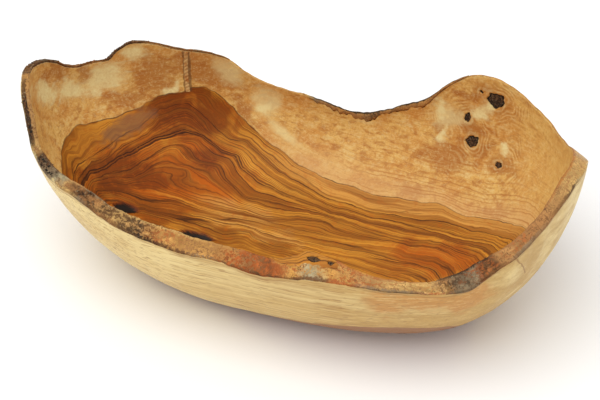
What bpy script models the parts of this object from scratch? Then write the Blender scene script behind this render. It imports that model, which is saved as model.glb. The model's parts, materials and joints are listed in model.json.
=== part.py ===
"""Natural-edge fruit bowl carved from one piece of olive wood.

The bowl keeps the outside of the log as its rim. Patches of bark and of inner bark
stay on that edge, dead knots sit loose in the wall, and one drying crack is filled.
Metres, +Z up, length along X, front along -Y, origin in the middle of the resting face.
"""
import math

import bpy
from mathutils import Vector

MM = 0.001

# Outline of the rim, seen from above
LENGTH = 0.342
WIDTH = 0.195
PLAN_FULLNESS = 2.3
STATIONS = 144

# Resting face
BASE_LENGTH = 0.216
BASE_WIDTH = 0.092
BASE_FULLNESS = 2.3
BASE_SHIFT = 0.004

# Wall and floor
HOLLOW_FULLNESS = 2.3
FLOOR_THICKNESS = 0.012
WALL_ROWS = 10
HOLLOW_ROWS = 13

# Gaps kept between pieces that touch, in a pocket and under the bark
CLEARANCE = 0.0003
BARK_GAP = 0.0005

# The rim's free shape: (bearing in degrees, millimetres). Bearing 0 is +X and 90 is the
# back. The height is that of the inner edge and the fall runs from there to the outer edge.
OUTLINE_SWELL = (
    (0, 0), (12, -2), (24, 2), (36, 5), (54, 4), (72, 1), (90, -1), (120, -4), (138, -8),
    (152, -11), (160, -10), (172, -3), (184, 1), (198, -1), (222, 2), (245, 0), (270, -1),
    (300, 1), (318, 3), (335, 6), (342, 1), (350, -2), (356, -1),
)
RIM_HEIGHT = (
    (0, 119), (6, 114), (12, 106), (20, 101), (28, 104), (38, 109), (44, 106), (48, 100),
    (52, 92), (55, 84), (59, 76), (63, 72), (71, 64), (84, 58), (99, 64), (114, 69),
    (123, 74), (129, 81), (135, 91), (140, 95), (148, 99), (154, 105), (159, 108), (162, 104),
    (164, 98), (170, 99), (173, 103), (176, 111), (180, 118), (186, 122), (190, 118),
    (194, 107), (198, 91), (206, 89), (214, 90), (222, 86), (236, 82), (254, 79), (275, 77),
    (291, 80), (304, 79), (319, 76), (326, 81), (333, 94), (342, 104), (348, 112), (355, 119),
)
RIM_FALL = (
    (0, 2), (7, 7), (16, 13), (40, 12), (90, 12), (162, 12), (168, 9), (180, 3), (200, 1), (208, 4),
    (222, 2), (240, 5), (258, 3), (279, 5), (302, 3), (316, 1), (328, 5), (338, 2),
)
RIM_WIDTH = (
    (0, 9), (25, 8), (52, 10), (150, 11), (170, 8), (184, 5), (200, 5), (216, 8), (243, 10),
    (279, 10), (286, 14), (292, 20), (298, 19), (305, 12), (312, 9), (336, 8), (345, 6),
)

# Height of the plain bowl shape under the free rim, which the wall leaves only near the edge
FORM_HEIGHT = (
    (0, 112), (40, 101), (84, 66), (128, 86), (180, 112), (205, 95), (250, 81), (310, 80), (338, 98),
)
WALL_THICKNESS = 0.010
EDGE_SLOPE = 55.0

# How full the outside is between base and rim: 1 is straight and 2 is round
WALL_FULLNESS = ((30, 1.6), (120, 1.6), (200, 1.54), (240, 1.6), (300, 1.58), (338, 1.6))

# Bark left on the rim
BARK_THICKNESS = 0.003
THIN_BARK_THICKNESS = 0.0018
INNER_BARK_THICKNESS = 0.0014
KNOB_THICKNESS = 0.0045
BARK_CROWN = 0.0006
BARK_TAPER_STATIONS = 3
BARK_END_SHARE = 0.4

# Each patch of bark: name, first and last bearing, thickness, colour
BARK_PATCHES = (
    ("bark_left_end", 190.0, 207.5, THIN_BARK_THICKNESS, (0.075, 0.066, 0.058)),
    ("bark_left_chunk", 210.0, 215.0, BARK_THICKNESS, (0.33, 0.20, 0.15)),
    ("bark_front_left_grey", 215.0, 220.0, BARK_THICKNESS, (0.17, 0.13, 0.105)),
    ("bark_front_left_rough", 220.0, 237.5, BARK_THICKNESS, (0.22, 0.125, 0.085)),
    ("inner_bark_front_left", 237.5, 260.0, INNER_BARK_THICKNESS, (0.50, 0.30, 0.16)),
    ("bark_front_middle", 262.5, 280.0, BARK_THICKNESS, (0.24, 0.105, 0.06)),
    ("inner_bark_front_middle", 280.0, 287.5, INNER_BARK_THICKNESS, (0.56, 0.32, 0.10)),
    ("inner_bark_front_right", 302.5, 320.0, INNER_BARK_THICKNESS, (0.50, 0.31, 0.21)),
    ("bark_front_right_knob", 325.0, 332.5, KNOB_THICKNESS, (0.11, 0.085, 0.09)),
    ("inner_bark_right_end", 332.5, 357.5, INNER_BARK_THICKNESS, (0.46, 0.28, 0.19)),
    ("bark_back_middle", 47.5, 105.0, BARK_THICKNESS, (0.21, 0.115, 0.055)),
    ("bark_back_left_line", 135.0, 152.5, THIN_BARK_THICKNESS, (0.16, 0.11, 0.07)),
    ("bark_back_left_shoulder", 155.0, 165.0, BARK_THICKNESS, (0.10, 0.075, 0.055)),
    ("bark_back_left_corner", 167.5, 185.0, THIN_BARK_THICKNESS, (0.12, 0.095, 0.07)),
)

# Dead knots in the wall: name, bearing, slope angle up the hollow, half sizes, turn
KNOT_DEPTH = 0.005
RIM_KNOT_DEPTH = 0.004
KNOT_SINK = 0.0004
KNOT_WOBBLE = 0.13
KNOT_SIDES = 20
POCKET_REACH = 0.004
WALL_KNOTS = (
    ("dead_knot_large", 38.0, 82.7, 0.0056, 0.0048, 20.0),
    ("dead_knot_dot", 42.0, 84.5, 0.0016, 0.0014, 0.0),
    ("dead_knot_small", 44.0, 74.6, 0.0032, 0.0021, 80.0),
    ("dead_knot_middle", 40.0, 66.0, 0.0044, 0.0035, 30.0),
    ("dead_knot_low", 29.5, 62.0, 0.0028, 0.0018, 10.0),
)
# Knots in the swelling of the front rim: name, bearing, share across the rim, half sizes
RIM_KNOTS = (
    ("rim_knot_large", 293.0, 0.23, 0.0042, 0.0024),
    ("rim_knot_small", 298.6, 0.20, 0.0020, 0.0019),
)

# Filled drying crack in the back wall
FILLER_BEARING_TOP = 146.0
FILLER_BEARING_FOOT = 147.0
FILLER_SLOPE_TOP = 87.0
FILLER_SLOPE_FOOT = 72.0
FILLER_WIDTH = 0.0034
FILLER_DEPTH = 0.003
FILLER_END_SLOPE = 0.6
FILLER_STEPS = 10

OLIVE_WOOD = (0.42, 0.26, 0.13)
DEAD_KNOT = (0.035, 0.024, 0.018)
FILLER = (0.52, 0.40, 0.25)


def around(stations, bearing):
    """Value at a bearing: smooth through the stations, without overshoot."""
    turn = bearing % 360.0
    index = sum(1 for place, _ in stations if place <= turn) - 1
    places = []
    values = []
    for step in (-1, 0, 1, 2):
        laps, slot = divmod(index + step, len(stations))
        places.append(stations[slot][0] + 360.0 * laps)
        values.append(stations[slot][1])
    widths = [places[k + 1] - places[k] for k in range(3)]
    slopes = [(values[k + 1] - values[k]) / widths[k] for k in range(3)]

    def tangent(before, after):
        if before * after <= 0.0:
            return 0.0
        return 2.0 * before * after / (before + after)

    span = widths[1]
    start = tangent(slopes[0], slopes[1]) * span
    end = tangent(slopes[1], slopes[2]) * span
    rise = values[2] - values[1]
    share = (turn - places[1]) / span
    bend = 3.0 * rise - 2.0 * start - end
    return values[1] + share * (start + share * (bend + share * (start + end - 2.0 * rise)))


def oval(length, width, fullness, bearing):
    """Reach of a rounded oval at a bearing."""
    angle = math.radians(bearing)
    along = abs(2.0 * math.cos(angle) / length) ** fullness
    across = abs(2.0 * math.sin(angle) / width) ** fullness
    return (along + across) ** (-1.0 / fullness)


def polar(bearing, reach, height):
    angle = math.radians(bearing)
    return Vector((reach * math.cos(angle), reach * math.sin(angle), height))


def outer_reach(bearing):
    return oval(LENGTH, WIDTH, PLAN_FULLNESS, bearing) + around(OUTLINE_SWELL, bearing) * MM


def inner_reach(bearing):
    return outer_reach(bearing) - around(RIM_WIDTH, bearing) * MM


def rim_point(bearing, across, lowered=0.0):
    """Point on the finished rim: 0 across is its inner edge and 1 its outer edge."""
    inner = inner_reach(bearing)
    reach = inner + (outer_reach(bearing) - inner) * across
    height = around(RIM_HEIGHT, bearing) - around(RIM_FALL, bearing) * across
    return polar(bearing, reach, height * MM - lowered)


def edge_share(slope):
    """0 on the plain bowl shape and 1 at the free rim."""
    share = max(0.0, (slope - EDGE_SLOPE) / (90.0 - EDGE_SLOPE))
    return share * share * (3.0 - 2.0 * share)


def top_height(bearing, slope, across):
    form = around(FORM_HEIGHT, bearing) - around(RIM_FALL, bearing) * across
    rim = around(RIM_HEIGHT, bearing) - around(RIM_FALL, bearing) * across
    return (form + (rim - form) * edge_share(slope)) * MM


def outside_point(bearing, slope):
    """Point on the outside: slope 0 is the edge of the base and 90 the rim."""
    rim = rim_point(bearing, 1.0)
    foot = polar(bearing, oval(BASE_LENGTH, BASE_WIDTH, BASE_FULLNESS, bearing), 0.0)
    foot.x += BASE_SHIFT
    angle = math.radians(slope)
    power = 2.0 / around(WALL_FULLNESS, bearing)
    point = foot.lerp(rim, math.sin(angle) ** power)
    point.z = top_height(bearing, slope, 1.0) * (1.0 - math.cos(angle) ** power)
    return point


def inside_point(bearing, slope):
    """Point in the hollow: slope 0 is the middle of the floor and 90 the rim."""
    angle = math.radians(slope)
    power = 2.0 / HOLLOW_FULLNESS
    depth = (top_height(bearing, slope, 0.0) - FLOOR_THICKNESS) * (1.0 - math.cos(angle) ** power)
    plain = outer_reach(bearing) - WALL_THICKNESS
    reach = plain + (inner_reach(bearing) - plain) * edge_share(slope)
    return polar(bearing, reach * math.sin(angle) ** power, FLOOR_THICKNESS + depth)


def inside_normal(bearing, slope):
    """Direction out of the wood, into the hollow."""
    sideways = inside_point(bearing + 0.5, slope) - inside_point(bearing - 0.5, slope)
    upward = inside_point(bearing, slope + 0.5) - inside_point(bearing, slope - 0.5)
    return upward.cross(sideways).normalized()


def station_bearing(station):
    return 360.0 * station / STATIONS


def nearest_station(bearing):
    return round(bearing * STATIONS / 360.0)


def bark_depths():
    """Thickness of bark at every station of the rim, thinner towards the ends of a patch."""
    depths = [0.0] * STATIONS
    for _, first, last, thickness, _ in BARK_PATCHES:
        start = nearest_station(first)
        stop = nearest_station(last)
        for station in range(start, stop + 1):
            inward = min(station - start, stop - station, BARK_TAPER_STATIONS) / BARK_TAPER_STATIONS
            share = BARK_END_SHARE + (1.0 - BARK_END_SHARE) * inward
            depths[station] = max(depths[station], thickness * share)
    return depths


def add_solid(name, points, faces, colour, roughness):
    mesh = bpy.data.meshes.new(name)
    mesh.from_pydata(points, [], faces)
    mesh.validate()
    solid = bpy.data.objects.new(name, mesh)
    bpy.context.scene.collection.objects.link(solid)
    material = bpy.data.materials.new(name + "_material")
    material.use_nodes = True
    shader = material.node_tree.nodes["Principled BSDF"]
    shader.inputs["Base Color"].default_value = (*colour, 1.0)
    shader.inputs["Roughness"].default_value = roughness
    shader.inputs["Metallic"].default_value = 0.0
    mesh.materials.append(material)
    return solid


def join_rings(rings, ends):
    """Points and triangles between equal rings, wound outwards and closed at both ends."""
    count = len(rings[0])
    points = [point for ring in rings for point in ring]
    faces = []
    for row in range(len(rings) - 1):
        for step in range(count):
            low = row * count + step
            low_next = row * count + (step + 1) % count
            faces.append((low, low_next, low_next + count))
            faces.append((low, low_next + count, low + count))
    first = len(points)
    points.append(ends[0])
    last = len(points)
    points.append(ends[1])
    top = (len(rings) - 1) * count
    for step in range(count):
        step_next = (step + 1) % count
        faces.append((first, step_next, step))
        faces.append((last, top + step, top + step_next))
    return points, faces


def middle_of(ring):
    return sum(ring, Vector()) / len(ring)


def add_body(depths):
    bearings = [station_bearing(station) for station in range(STATIONS)]
    lowered = [depth + BARK_GAP if depth > 0.0 else 0.0 for depth in depths]
    rings = []
    middle = Vector((BASE_SHIFT, 0.0, 0.0))
    for share in (0.5, 0.85):
        rings.append([middle.lerp(outside_point(bearing, 0.0), share) for bearing in bearings])
    for row in range(WALL_ROWS):
        slope = 90.0 * row / WALL_ROWS
        rings.append([outside_point(bearing, slope) for bearing in bearings])
    for across in (1.0, 0.5, 0.0):
        rings.append([rim_point(b, across, low) for b, low in zip(bearings, lowered)])
    for row in range(1, HOLLOW_ROWS):
        slope = 90.0 - 90.0 * row / HOLLOW_ROWS
        rings.append([inside_point(bearing, slope) for bearing in bearings])
    ends = (middle, Vector((0.0, 0.0, FLOOR_THICKNESS)))
    points, faces = join_rings(rings, ends)
    return add_solid("bowl_body", points, faces, OLIVE_WOOD, 0.38)


def add_bark(name, first, last, colour, depths):
    start = nearest_station(first)
    stop = nearest_station(last)
    rings = []
    for station in range(start, stop + 1):
        bearing = station_bearing(station)
        inset = math.degrees(0.5 * CLEARANCE / inner_reach(bearing))
        if station == start:
            bearing += inset
        if station == stop:
            bearing -= inset
        depth = depths[station]
        crown = Vector((0.0, 0.0, BARK_CROWN))
        rings.append([
            rim_point(bearing, 0.0, depth),
            rim_point(bearing, 0.0),
            rim_point(bearing, 0.5) + crown,
            rim_point(bearing, 1.0),
            rim_point(bearing, 1.0, depth),
            rim_point(bearing, 0.5, depth),
        ])
    points, faces = join_rings(rings, (middle_of(rings[0]), middle_of(rings[-1])))
    return add_solid(name, points, faces, colour, 0.85)


def plug_shape(seat, normal, turn, half_long, half_short, low, high):
    """Rings of an irregular round plug that stands along a normal."""
    level = Vector((0.0, 0.0, 1.0)).cross(normal)
    if level.length < 0.2:
        level = Vector((1.0, 0.0, 0.0))
    level = (level - normal * level.dot(normal)).normalized()
    upward = normal.cross(level)
    lean = math.radians(turn)
    rings = []
    for distance in (low, high):
        ring = []
        for side in range(KNOT_SIDES):
            angle = 2.0 * math.pi * side / KNOT_SIDES
            wobble = 1.0 + KNOT_WOBBLE * math.sin(3.0 * angle + lean)
            along = half_long * wobble * math.cos(angle)
            across = half_short * wobble * math.sin(angle)
            sideways = along * math.cos(lean) - across * math.sin(lean)
            rising = along * math.sin(lean) + across * math.cos(lean)
            ring.append(seat + level * sideways + upward * rising + normal * distance)
        rings.append(ring)
    return join_rings(rings, (middle_of(rings[0]), middle_of(rings[1])))


def cut(body, points, faces):
    """Take a shape out of the body."""
    mesh = bpy.data.meshes.new("cutter")
    mesh.from_pydata(points, [], faces)
    cutter = bpy.data.objects.new("cutter", mesh)
    bpy.context.scene.collection.objects.link(cutter)
    modifier = body.modifiers.new("cut", "BOOLEAN")
    modifier.operation = "DIFFERENCE"
    modifier.solver = "EXACT"
    modifier.object = cutter
    bpy.context.view_layer.update()
    depsgraph = bpy.context.evaluated_depsgraph_get()
    result = bpy.data.meshes.new_from_object(body.evaluated_get(depsgraph))
    body.modifiers.remove(modifier)
    body.data = result
    bpy.data.objects.remove(cutter)


def add_knot(body, name, seat, normal, turn, half_long, half_short, depth):
    pocket = plug_shape(seat, normal, turn, half_long + CLEARANCE, half_short + CLEARANCE,
                        -depth - CLEARANCE, POCKET_REACH)
    cut(body, *pocket)
    plug = plug_shape(seat, normal, turn, half_long, half_short, -depth, -KNOT_SINK)
    return add_solid(name, *plug, DEAD_KNOT, 0.8)


def filler_shape(half_width, depth, proud, stretch):
    """A strip that follows the wall down the crack."""
    rings = []
    for step in range(FILLER_STEPS + 1):
        share = step / FILLER_STEPS
        bearing = FILLER_BEARING_TOP + (FILLER_BEARING_FOOT - FILLER_BEARING_TOP) * share
        top = FILLER_SLOPE_TOP + stretch
        foot = FILLER_SLOPE_FOOT - stretch
        slope = top + (foot - top) * share
        seat = inside_point(bearing, slope)
        normal = inside_normal(bearing, slope)
        level = Vector((0.0, 0.0, 1.0)).cross(normal).normalized()
        rings.append([
            seat - level * half_width - normal * depth,
            seat + level * half_width - normal * depth,
            seat + level * half_width + normal * proud,
            seat - level * half_width + normal * proud,
        ])
    return join_rings(rings, (middle_of(rings[0]), middle_of(rings[-1])))


def add_filler(body):
    half = 0.5 * FILLER_WIDTH
    groove = filler_shape(half + CLEARANCE, FILLER_DEPTH + CLEARANCE, POCKET_REACH, FILLER_END_SLOPE)
    cut(body, *groove)
    return add_solid("check_filler", *filler_shape(half, FILLER_DEPTH, -CLEARANCE, 0.0), FILLER, 0.6)


def stand_on_origin(solids):
    """Move every piece so that the middle of the whole outline is over the origin."""
    corners = [vertex.co for solid in solids for vertex in solid.data.vertices]
    middle_x = 0.5 * (min(c.x for c in corners) + max(c.x for c in corners))
    middle_y = 0.5 * (min(c.y for c in corners) + max(c.y for c in corners))
    for solid in solids:
        for vertex in solid.data.vertices:
            vertex.co.x -= middle_x
            vertex.co.y -= middle_y


def build():
    for leftover in list(bpy.data.objects):
        bpy.data.objects.remove(leftover)
    depths = bark_depths()
    body = add_body(depths)
    solids = [body]
    for name, first, last, _, colour in BARK_PATCHES:
        solids.append(add_bark(name, first, last, colour, depths))
    for name, bearing, slope, half_long, half_short, turn in WALL_KNOTS:
        seat = inside_point(bearing, slope)
        normal = inside_normal(bearing, slope)
        solids.append(add_knot(body, name, seat, normal, turn, half_long, half_short, KNOT_DEPTH))
    for name, bearing, across, half_long, half_short in RIM_KNOTS:
        seat = rim_point(bearing, across)
        upward = Vector((0.0, 0.0, 1.0))
        solids.append(add_knot(body, name, seat, upward, 0.0, half_long, half_short, RIM_KNOT_DEPTH))
    solids.append(add_filler(body))
    stand_on_origin(solids)


build()
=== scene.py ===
"""Looks of a natural-edge fruit bowl in olive wood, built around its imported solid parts.

Metres, +Z up, length along X, front along -Y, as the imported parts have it.
"""
import json
import math
from collections import namedtuple

import bmesh
import bpy
import numpy as np
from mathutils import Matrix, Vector, noise
from mathutils.bvhtree import BVHTree

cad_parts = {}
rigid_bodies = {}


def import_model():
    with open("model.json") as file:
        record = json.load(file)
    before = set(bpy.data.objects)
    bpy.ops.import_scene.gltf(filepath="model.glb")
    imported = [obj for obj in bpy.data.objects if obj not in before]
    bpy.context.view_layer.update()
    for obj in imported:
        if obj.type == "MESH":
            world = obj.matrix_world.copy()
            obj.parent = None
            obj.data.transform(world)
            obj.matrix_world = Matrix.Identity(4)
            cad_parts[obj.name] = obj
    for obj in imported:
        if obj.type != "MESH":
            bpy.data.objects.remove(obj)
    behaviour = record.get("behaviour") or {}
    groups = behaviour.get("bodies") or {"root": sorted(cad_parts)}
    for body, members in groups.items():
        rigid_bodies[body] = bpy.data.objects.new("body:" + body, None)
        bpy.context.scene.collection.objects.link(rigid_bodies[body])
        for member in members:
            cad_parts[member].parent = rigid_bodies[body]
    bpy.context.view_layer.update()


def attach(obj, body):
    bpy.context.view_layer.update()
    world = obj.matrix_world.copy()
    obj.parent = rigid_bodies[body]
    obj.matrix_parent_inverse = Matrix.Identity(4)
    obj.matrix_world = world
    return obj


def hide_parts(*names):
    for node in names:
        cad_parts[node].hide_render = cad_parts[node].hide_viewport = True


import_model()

bl_info = {
    "name": "Natural-edge olive bowl",
    "version": (1, 0, 0),
    "blender": (4, 5, 0),
    "location": "3D View > Sidebar > Olive Bowl",
    "description": "Builds the looks of a natural-edge olive wood bowl on its packed parts",
    "category": "Add Mesh",
}

MM = 0.001

# The photograph's frame, which the pixel places below are read in
PHOTO_WIDTH = 600
PHOTO_HEIGHT = 400
SENSOR_MM = 36.0

# Wandering of borders and patches: its start, then scale and reach, in degrees and in pixels
UNREST_SEED = 6
TONE_UNREST = ((110.0, 2.2), (420.0, 1.0))
PATCH_UNREST = ((60.0, 9.0), (170.0, 4.0))

# The rim's free shape, as the solid part has it: (bearing in degrees, millimetres)
OUTLINE_SWELL = (
    (0, 0), (12, -2), (24, 2), (36, 5), (54, 4), (72, 1), (90, -1), (120, -4), (138, -8),
    (152, -11), (160, -10), (172, -3), (184, 1), (198, -1), (222, 2), (245, 0), (270, -1),
    (300, 1), (318, 3), (335, 6), (342, 1), (350, -2), (356, -1),
)
RIM_HEIGHT = (
    (0, 119), (6, 114), (12, 106), (20, 101), (28, 104), (38, 109), (44, 106), (48, 100),
    (52, 92), (55, 84), (59, 76), (63, 72), (71, 64), (84, 58), (99, 64), (114, 69),
    (123, 74), (129, 81), (135, 91), (140, 95), (148, 99), (154, 105), (159, 108), (162, 104),
    (164, 98), (170, 99), (173, 103), (176, 111), (180, 118), (186, 122), (190, 118),
    (194, 107), (198, 91), (206, 89), (214, 90), (222, 86), (236, 82), (254, 79), (275, 77),
    (291, 80), (304, 79), (319, 76), (326, 81), (333, 94), (342, 104), (348, 112), (355, 119),
)
RIM_FALL = (
    (0, 2), (7, 7), (16, 13), (40, 12), (90, 12), (162, 12), (168, 9), (180, 3), (200, 1), (208, 4),
    (222, 2), (240, 5), (258, 3), (279, 5), (302, 3), (316, 1), (328, 5), (338, 2),
)
RIM_WIDTH = (
    (0, 9), (25, 8), (52, 10), (150, 11), (170, 8), (184, 5), (200, 5), (216, 8), (243, 10),
    (279, 10), (286, 14), (292, 20), (298, 19), (305, 12), (312, 9), (336, 8), (345, 6),
)
FORM_HEIGHT = (
    (0, 112), (40, 101), (84, 66), (128, 86), (180, 112), (205, 95), (250, 81), (310, 80), (338, 98),
)
WALL_FULLNESS = ((30, 1.6), (120, 1.6), (200, 1.54), (240, 1.6), (300, 1.58), (338, 1.6))
PLAN_FULLNESS = 2.3
HOLLOW_FULLNESS = 2.3
EDGE_SLOPE = 55.0
TAPER_DEGREES = 7.5
TAPER_SHARE = 0.4

# Patches of bark: bearings in degrees, thickness and relief in millimetres
BarkPatch = namedtuple("BarkPatch", "piece node first last thickness relief slot")
BARK_PATCHES = tuple(BarkPatch(*row) for row in (
    ("left_end_bark", "bark_left_end", 190.0, 207.5, 1.5, 1.2, "dark_bark"),
    ("left_chunk", "bark_left_chunk", 210.0, 215.0, 2.2, 1.4, "brown_bark"),
    ("front_left_grey_bark", "bark_front_left_grey", 215.0, 220.0, 2.4, 1.9, "dark_bark"),
    ("front_left_rough_bark", "bark_front_left_rough", 220.0, 237.5, 2.2, 2.0, "brown_bark"),
    ("front_left_cambium", "inner_bark_front_left", 237.5, 260.0, 1.3, 1.0, "inner_bark"),
    ("front_middle_bark", "bark_front_middle", 262.5, 280.0, 1.6, 1.1, "brown_bark"),
    ("front_middle_cambium", "inner_bark_front_middle", 280.0, 287.5, 1.3, 1.0, "inner_bark"),
    ("front_right_cambium", "inner_bark_front_right", 302.5, 320.0, 1.3, 0.8, "inner_bark"),
    ("front_right_knob", "bark_front_right_knob", 325.0, 332.5, 3.4, 2.4, "dark_bark"),
    ("right_end_cambium", "inner_bark_right_end", 332.5, 357.5, 1.2, 0.5, "inner_bark"),
    ("back_middle_crust", "bark_back_middle", 47.5, 105.0, 2.2, 1.6, "brown_bark"),
    ("back_left_bark_line", "bark_back_left_line", 135.0, 152.5, 0.9, 1.0, "dark_bark"),
    ("back_left_shoulder_bark", "bark_back_left_shoulder", 155.0, 165.0, 1.7, 1.5, "dark_bark"),
    ("back_left_corner_bark", "bark_back_left_corner", 167.5, 185.0, 1.3, 1.4, "dark_bark"),
))
# How far bark hangs down the inner wall: (bearing in degrees, millimetres)
BARK_SKIRT = (
    (0, 0.8), (46, 0.8), (54, 1.8), (60, 3.6), (66, 4.4), (72, 5.6), (78, 6.4), (85, 6.4), (90, 5.0),
    (97, 3.4), (104, 1.4), (108, 0.6), (150, 0.3),
    (157, 1.3), (163, 0.5), (170, 1.2), (178, 1.6), (195, 1.0), (217, 1.5), (235, 1.5), (245, 0.8),
    (270, 1.2), (300, 0.8), (328, 1.5), (340, 0.6),
)

# Tones of the live edge: bearing, then colours of inner edge, body, speckle and outer edge
RIM_TONES = (
    (3, "sap_brown", "cambium_cream", "cambium_blush", "outside_cream"),
    (16, "sap_brown", "sap_gold", "sap_tan", "outside_cream"),
    (43, "sap_tan", "sap_gold", "sap_tan", "outside_honey"),
    (49, "bark_brown", "cambium_blush", "bark_pink", "bark_black"),
    (62, "bark_brown", "cambium_orange", "bark_pink", "bark_black"),
    (76, "bark_black", "cambium_blush", "bark_grey", "bark_black"),
    (84, "bark_black", "cambium_orange", "bark_pink", "bark_black"),
    (92, "bark_brown", "cambium_orange", "bark_pink", "bark_black"),
    (102, "bark_brown", "bark_stone", "bark_pink", "bark_black"),
    (107, "sap_tan", "sap_gold", "sap_tan", "outside_honey"),
    (133, "sap_tan", "sap_gold", "sap_tan", "outside_honey"),
    (139, "sap_tan", "bark_stone", "sap_brown", "bark_brown"),
    (154, "sap_tan", "bark_stone", "sap_brown", "bark_brown"),
    (158, "bark_brown", "bark_brown", "bark_black", "bark_black"),
    (163, "bark_brown", "bark_brown", "bark_black", "bark_brown"),
    (166, "sap_tan", "sap_brown", "bark_brown", "bark_brown"),
    (171, "bark_red", "bark_pink", "bark_brown", "bark_brown"),
    (176, "bark_brown", "bark_brown", "bark_stone", "bark_black"),
    (184, "bark_brown", "bark_brown", "bark_black", "bark_stone"),
    (187.5, "cambium_orange", "cambium_orange", "bark_brown", "outside_cream"),
    (191, "cambium_blush", "bark_black", "bark_brown", "outside_honey"),
    (197, "cambium_blush", "bark_black", "bark_brown", "bark_black"),
    (199, "cambium_cream", "cambium_cream", "bark_pink", "outside_cream"),
    (201, "bark_brown", "bark_black", "bark_brown", "bark_stone"),
    (206, "bark_brown", "bark_black", "bark_stone", "bark_stone"),
    (208.5, "lichen", "lichen", "bark_stone", "outside_cream"),
    (211, "cambium_blush", "bark_pink", "cambium_cream", "cambium_cream"),
    (214, "cambium_blush", "bark_pink", "bark_brown", "cambium_cream"),
    (217, "bark_stone", "bark_brown", "bark_black", "bark_stone"),
    (220, "bark_stone", "bark_pink", "bark_black", "bark_brown"),
    (226, "cambium_cream", "cambium_cream", "bark_brown", "bark_pink"),
    (233, "cambium_cream", "cambium_blush", "bark_black", "bark_black"),
    (239, "cambium_cream", "cambium_orange", "bark_red", "bark_black"),
    (247, "cambium_cream", "cambium_orange", "bark_pink", "bark_brown"),
    (256, "cambium_orange", "cambium_orange", "bark_pink", "bark_stone"),
    (263, "cambium_orange", "bark_red", "cambium_orange", "bark_brown"),
    (268, "bark_red", "bark_red", "bark_pink", "bark_brown"),
    (276, "bark_red", "bark_red", "bark_brown", "bark_brown"),
    (280, "cambium_yellow", "bark_red", "bark_red", "bark_brown"),
    (284, "cambium_yellow", "cambium_orange", "bark_red", "bark_brown"),
    (287, "cambium_yellow", "cambium_yellow", "bark_red", "bark_brown"),
    (291, "sap_gold", "lichen", "cambium_yellow", "bark_brown"),
    (295, "sap_brown", "cambium_cream", "sap_brown", "bark_brown"),
    (298, "sap_brown", "cambium_yellow", "sap_brown", "bark_red"),
    (302, "bark_red", "cambium_orange", "bark_red", "bark_red"),
    (306, "sap_tan", "cambium_blush", "bark_red", "bark_stone"),
    (316, "bark_red", "cambium_cream", "bark_pink", "bark_stone"),
    (322, "cambium_cream", "cambium_cream", "cambium_orange", "bark_red"),
    (325, "bark_brown", "bark_pink", "bark_black", "bark_stone"),
    (327, "bark_black", "bark_stone", "bark_grey", "bark_stone"),
    (329, "bark_black", "bark_stone", "bark_red", "bark_brown"),
    (331, "bark_black", "bark_red", "bark_black", "bark_brown"),
    (334, "bark_pink", "cambium_blush", "bark_pink", "bark_pink"),
    (338, "bark_pink", "bark_pink", "bark_red", "bark_stone"),
    (346, "bark_pink", "bark_pink", "cambium_blush", "bark_pink"),
    (354, "sap_brown", "cambium_cream", "bark_pink", "bark_grey"),
    (358, "sap_brown", "cambium_cream", "cambium_blush", "outside_cream"),
)
# Share of the rim beside its inner edge that keeps the inner tone: (bearing, share)
INNER_MARGIN = ((186, 0.0), (190, 0.30), (198, 0.30), (200, 0.0))
# How much of the outer tone shows along the outer edge: (bearing, share)
OUTER_REACH = (
    (40, 1.0), (50, 1.18), (100, 1.18), (110, 1.0), (228, 1.0), (242, 0.96), (252, 0.90), (282, 0.90),
    (288, 1.04), (298, 1.04), (303, 0.95), (330, 0.95), (336, 1.08), (348, 1.08), (356, 0.90),
)
# Share of the rim that bark leaves bare beside the inner edge: (bearing, share)
BARE_MARGIN = ((270, 0.0), (275, 0.04), (280, 0.26), (284, 0.44), (288, 0.58), (290, 0.58), (291, 0.0))
TONE_NAMES = ("edge_inner", "edge_body", "edge_speckle", "edge_outer")
# Matt, relief and pale flecks of every kind of bark
BARK_SLOTS = {"dark_bark": (0.93, 1.0, 0.45), "brown_bark": (0.88, 0.9, 0.15), "inner_bark": (0.78, 0.6, 0.0)}
FLAKY_PIECES = (
    "left_end_bark", "front_left_grey_bark", "front_left_rough_bark", "front_right_knob",
    "back_left_shoulder_bark", "back_left_corner_bark",
)

# Dead knots: piece, CAD node, bearing, slope, half sizes and depth in mm, turn
WALL_KNOTS = (
    ("large_knot", "dead_knot_large", 38.0, 82.7, 6.1, 5.0, 5.0, 20.0),
    ("dot_knot", "dead_knot_dot", 42.0, 84.5, 1.3, 1.0, 5.0, 0.0),
    ("small_knot", "dead_knot_small", 44.0, 74.6, 3.2, 2.1, 5.0, 80.0),
    ("middle_knot", "dead_knot_middle", 40.0, 66.0, 4.4, 3.5, 5.0, 30.0),
    ("low_knot", "dead_knot_low", 29.5, 62.0, 2.8, 1.8, 5.0, 10.0),
)
# Knots in the swelling of the front rim: piece, CAD node, bearing, share across, sizes in mm
RIM_KNOTS = (
    ("large_rim_knot", "rim_knot_large", 293.0, 0.23, 4.2, 2.4, 4.0),
    ("small_rim_knot", "rim_knot_small", 298.6, 0.20, 1.8, 1.6, 4.0),
)
KNOT_WOBBLE = 0.06
# How far from a knot's middle plane the wood still belongs to its pocket
KNOT_REACH = 3.5 * MM
KnotSeat = namedtuple("KnotSeat", "piece node place normal level upward half_long half_short depth turn")

# Filled drying crack, from its top to its foot: (bearing, slope)
FILLER_TOP = (146.0, 89.0)
FILLER_FOOT = (147.0, 72.0)
# How far from a crack its dark margins may lie
CRACK_REACH = 20.0 * MM
# Small open crack on the outside, from its top to its foot: (bearing, slope)
SPLIT_TOP = (336.5, 86.0)
SPLIT_FOOT = (342.2, 68.5)

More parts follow.
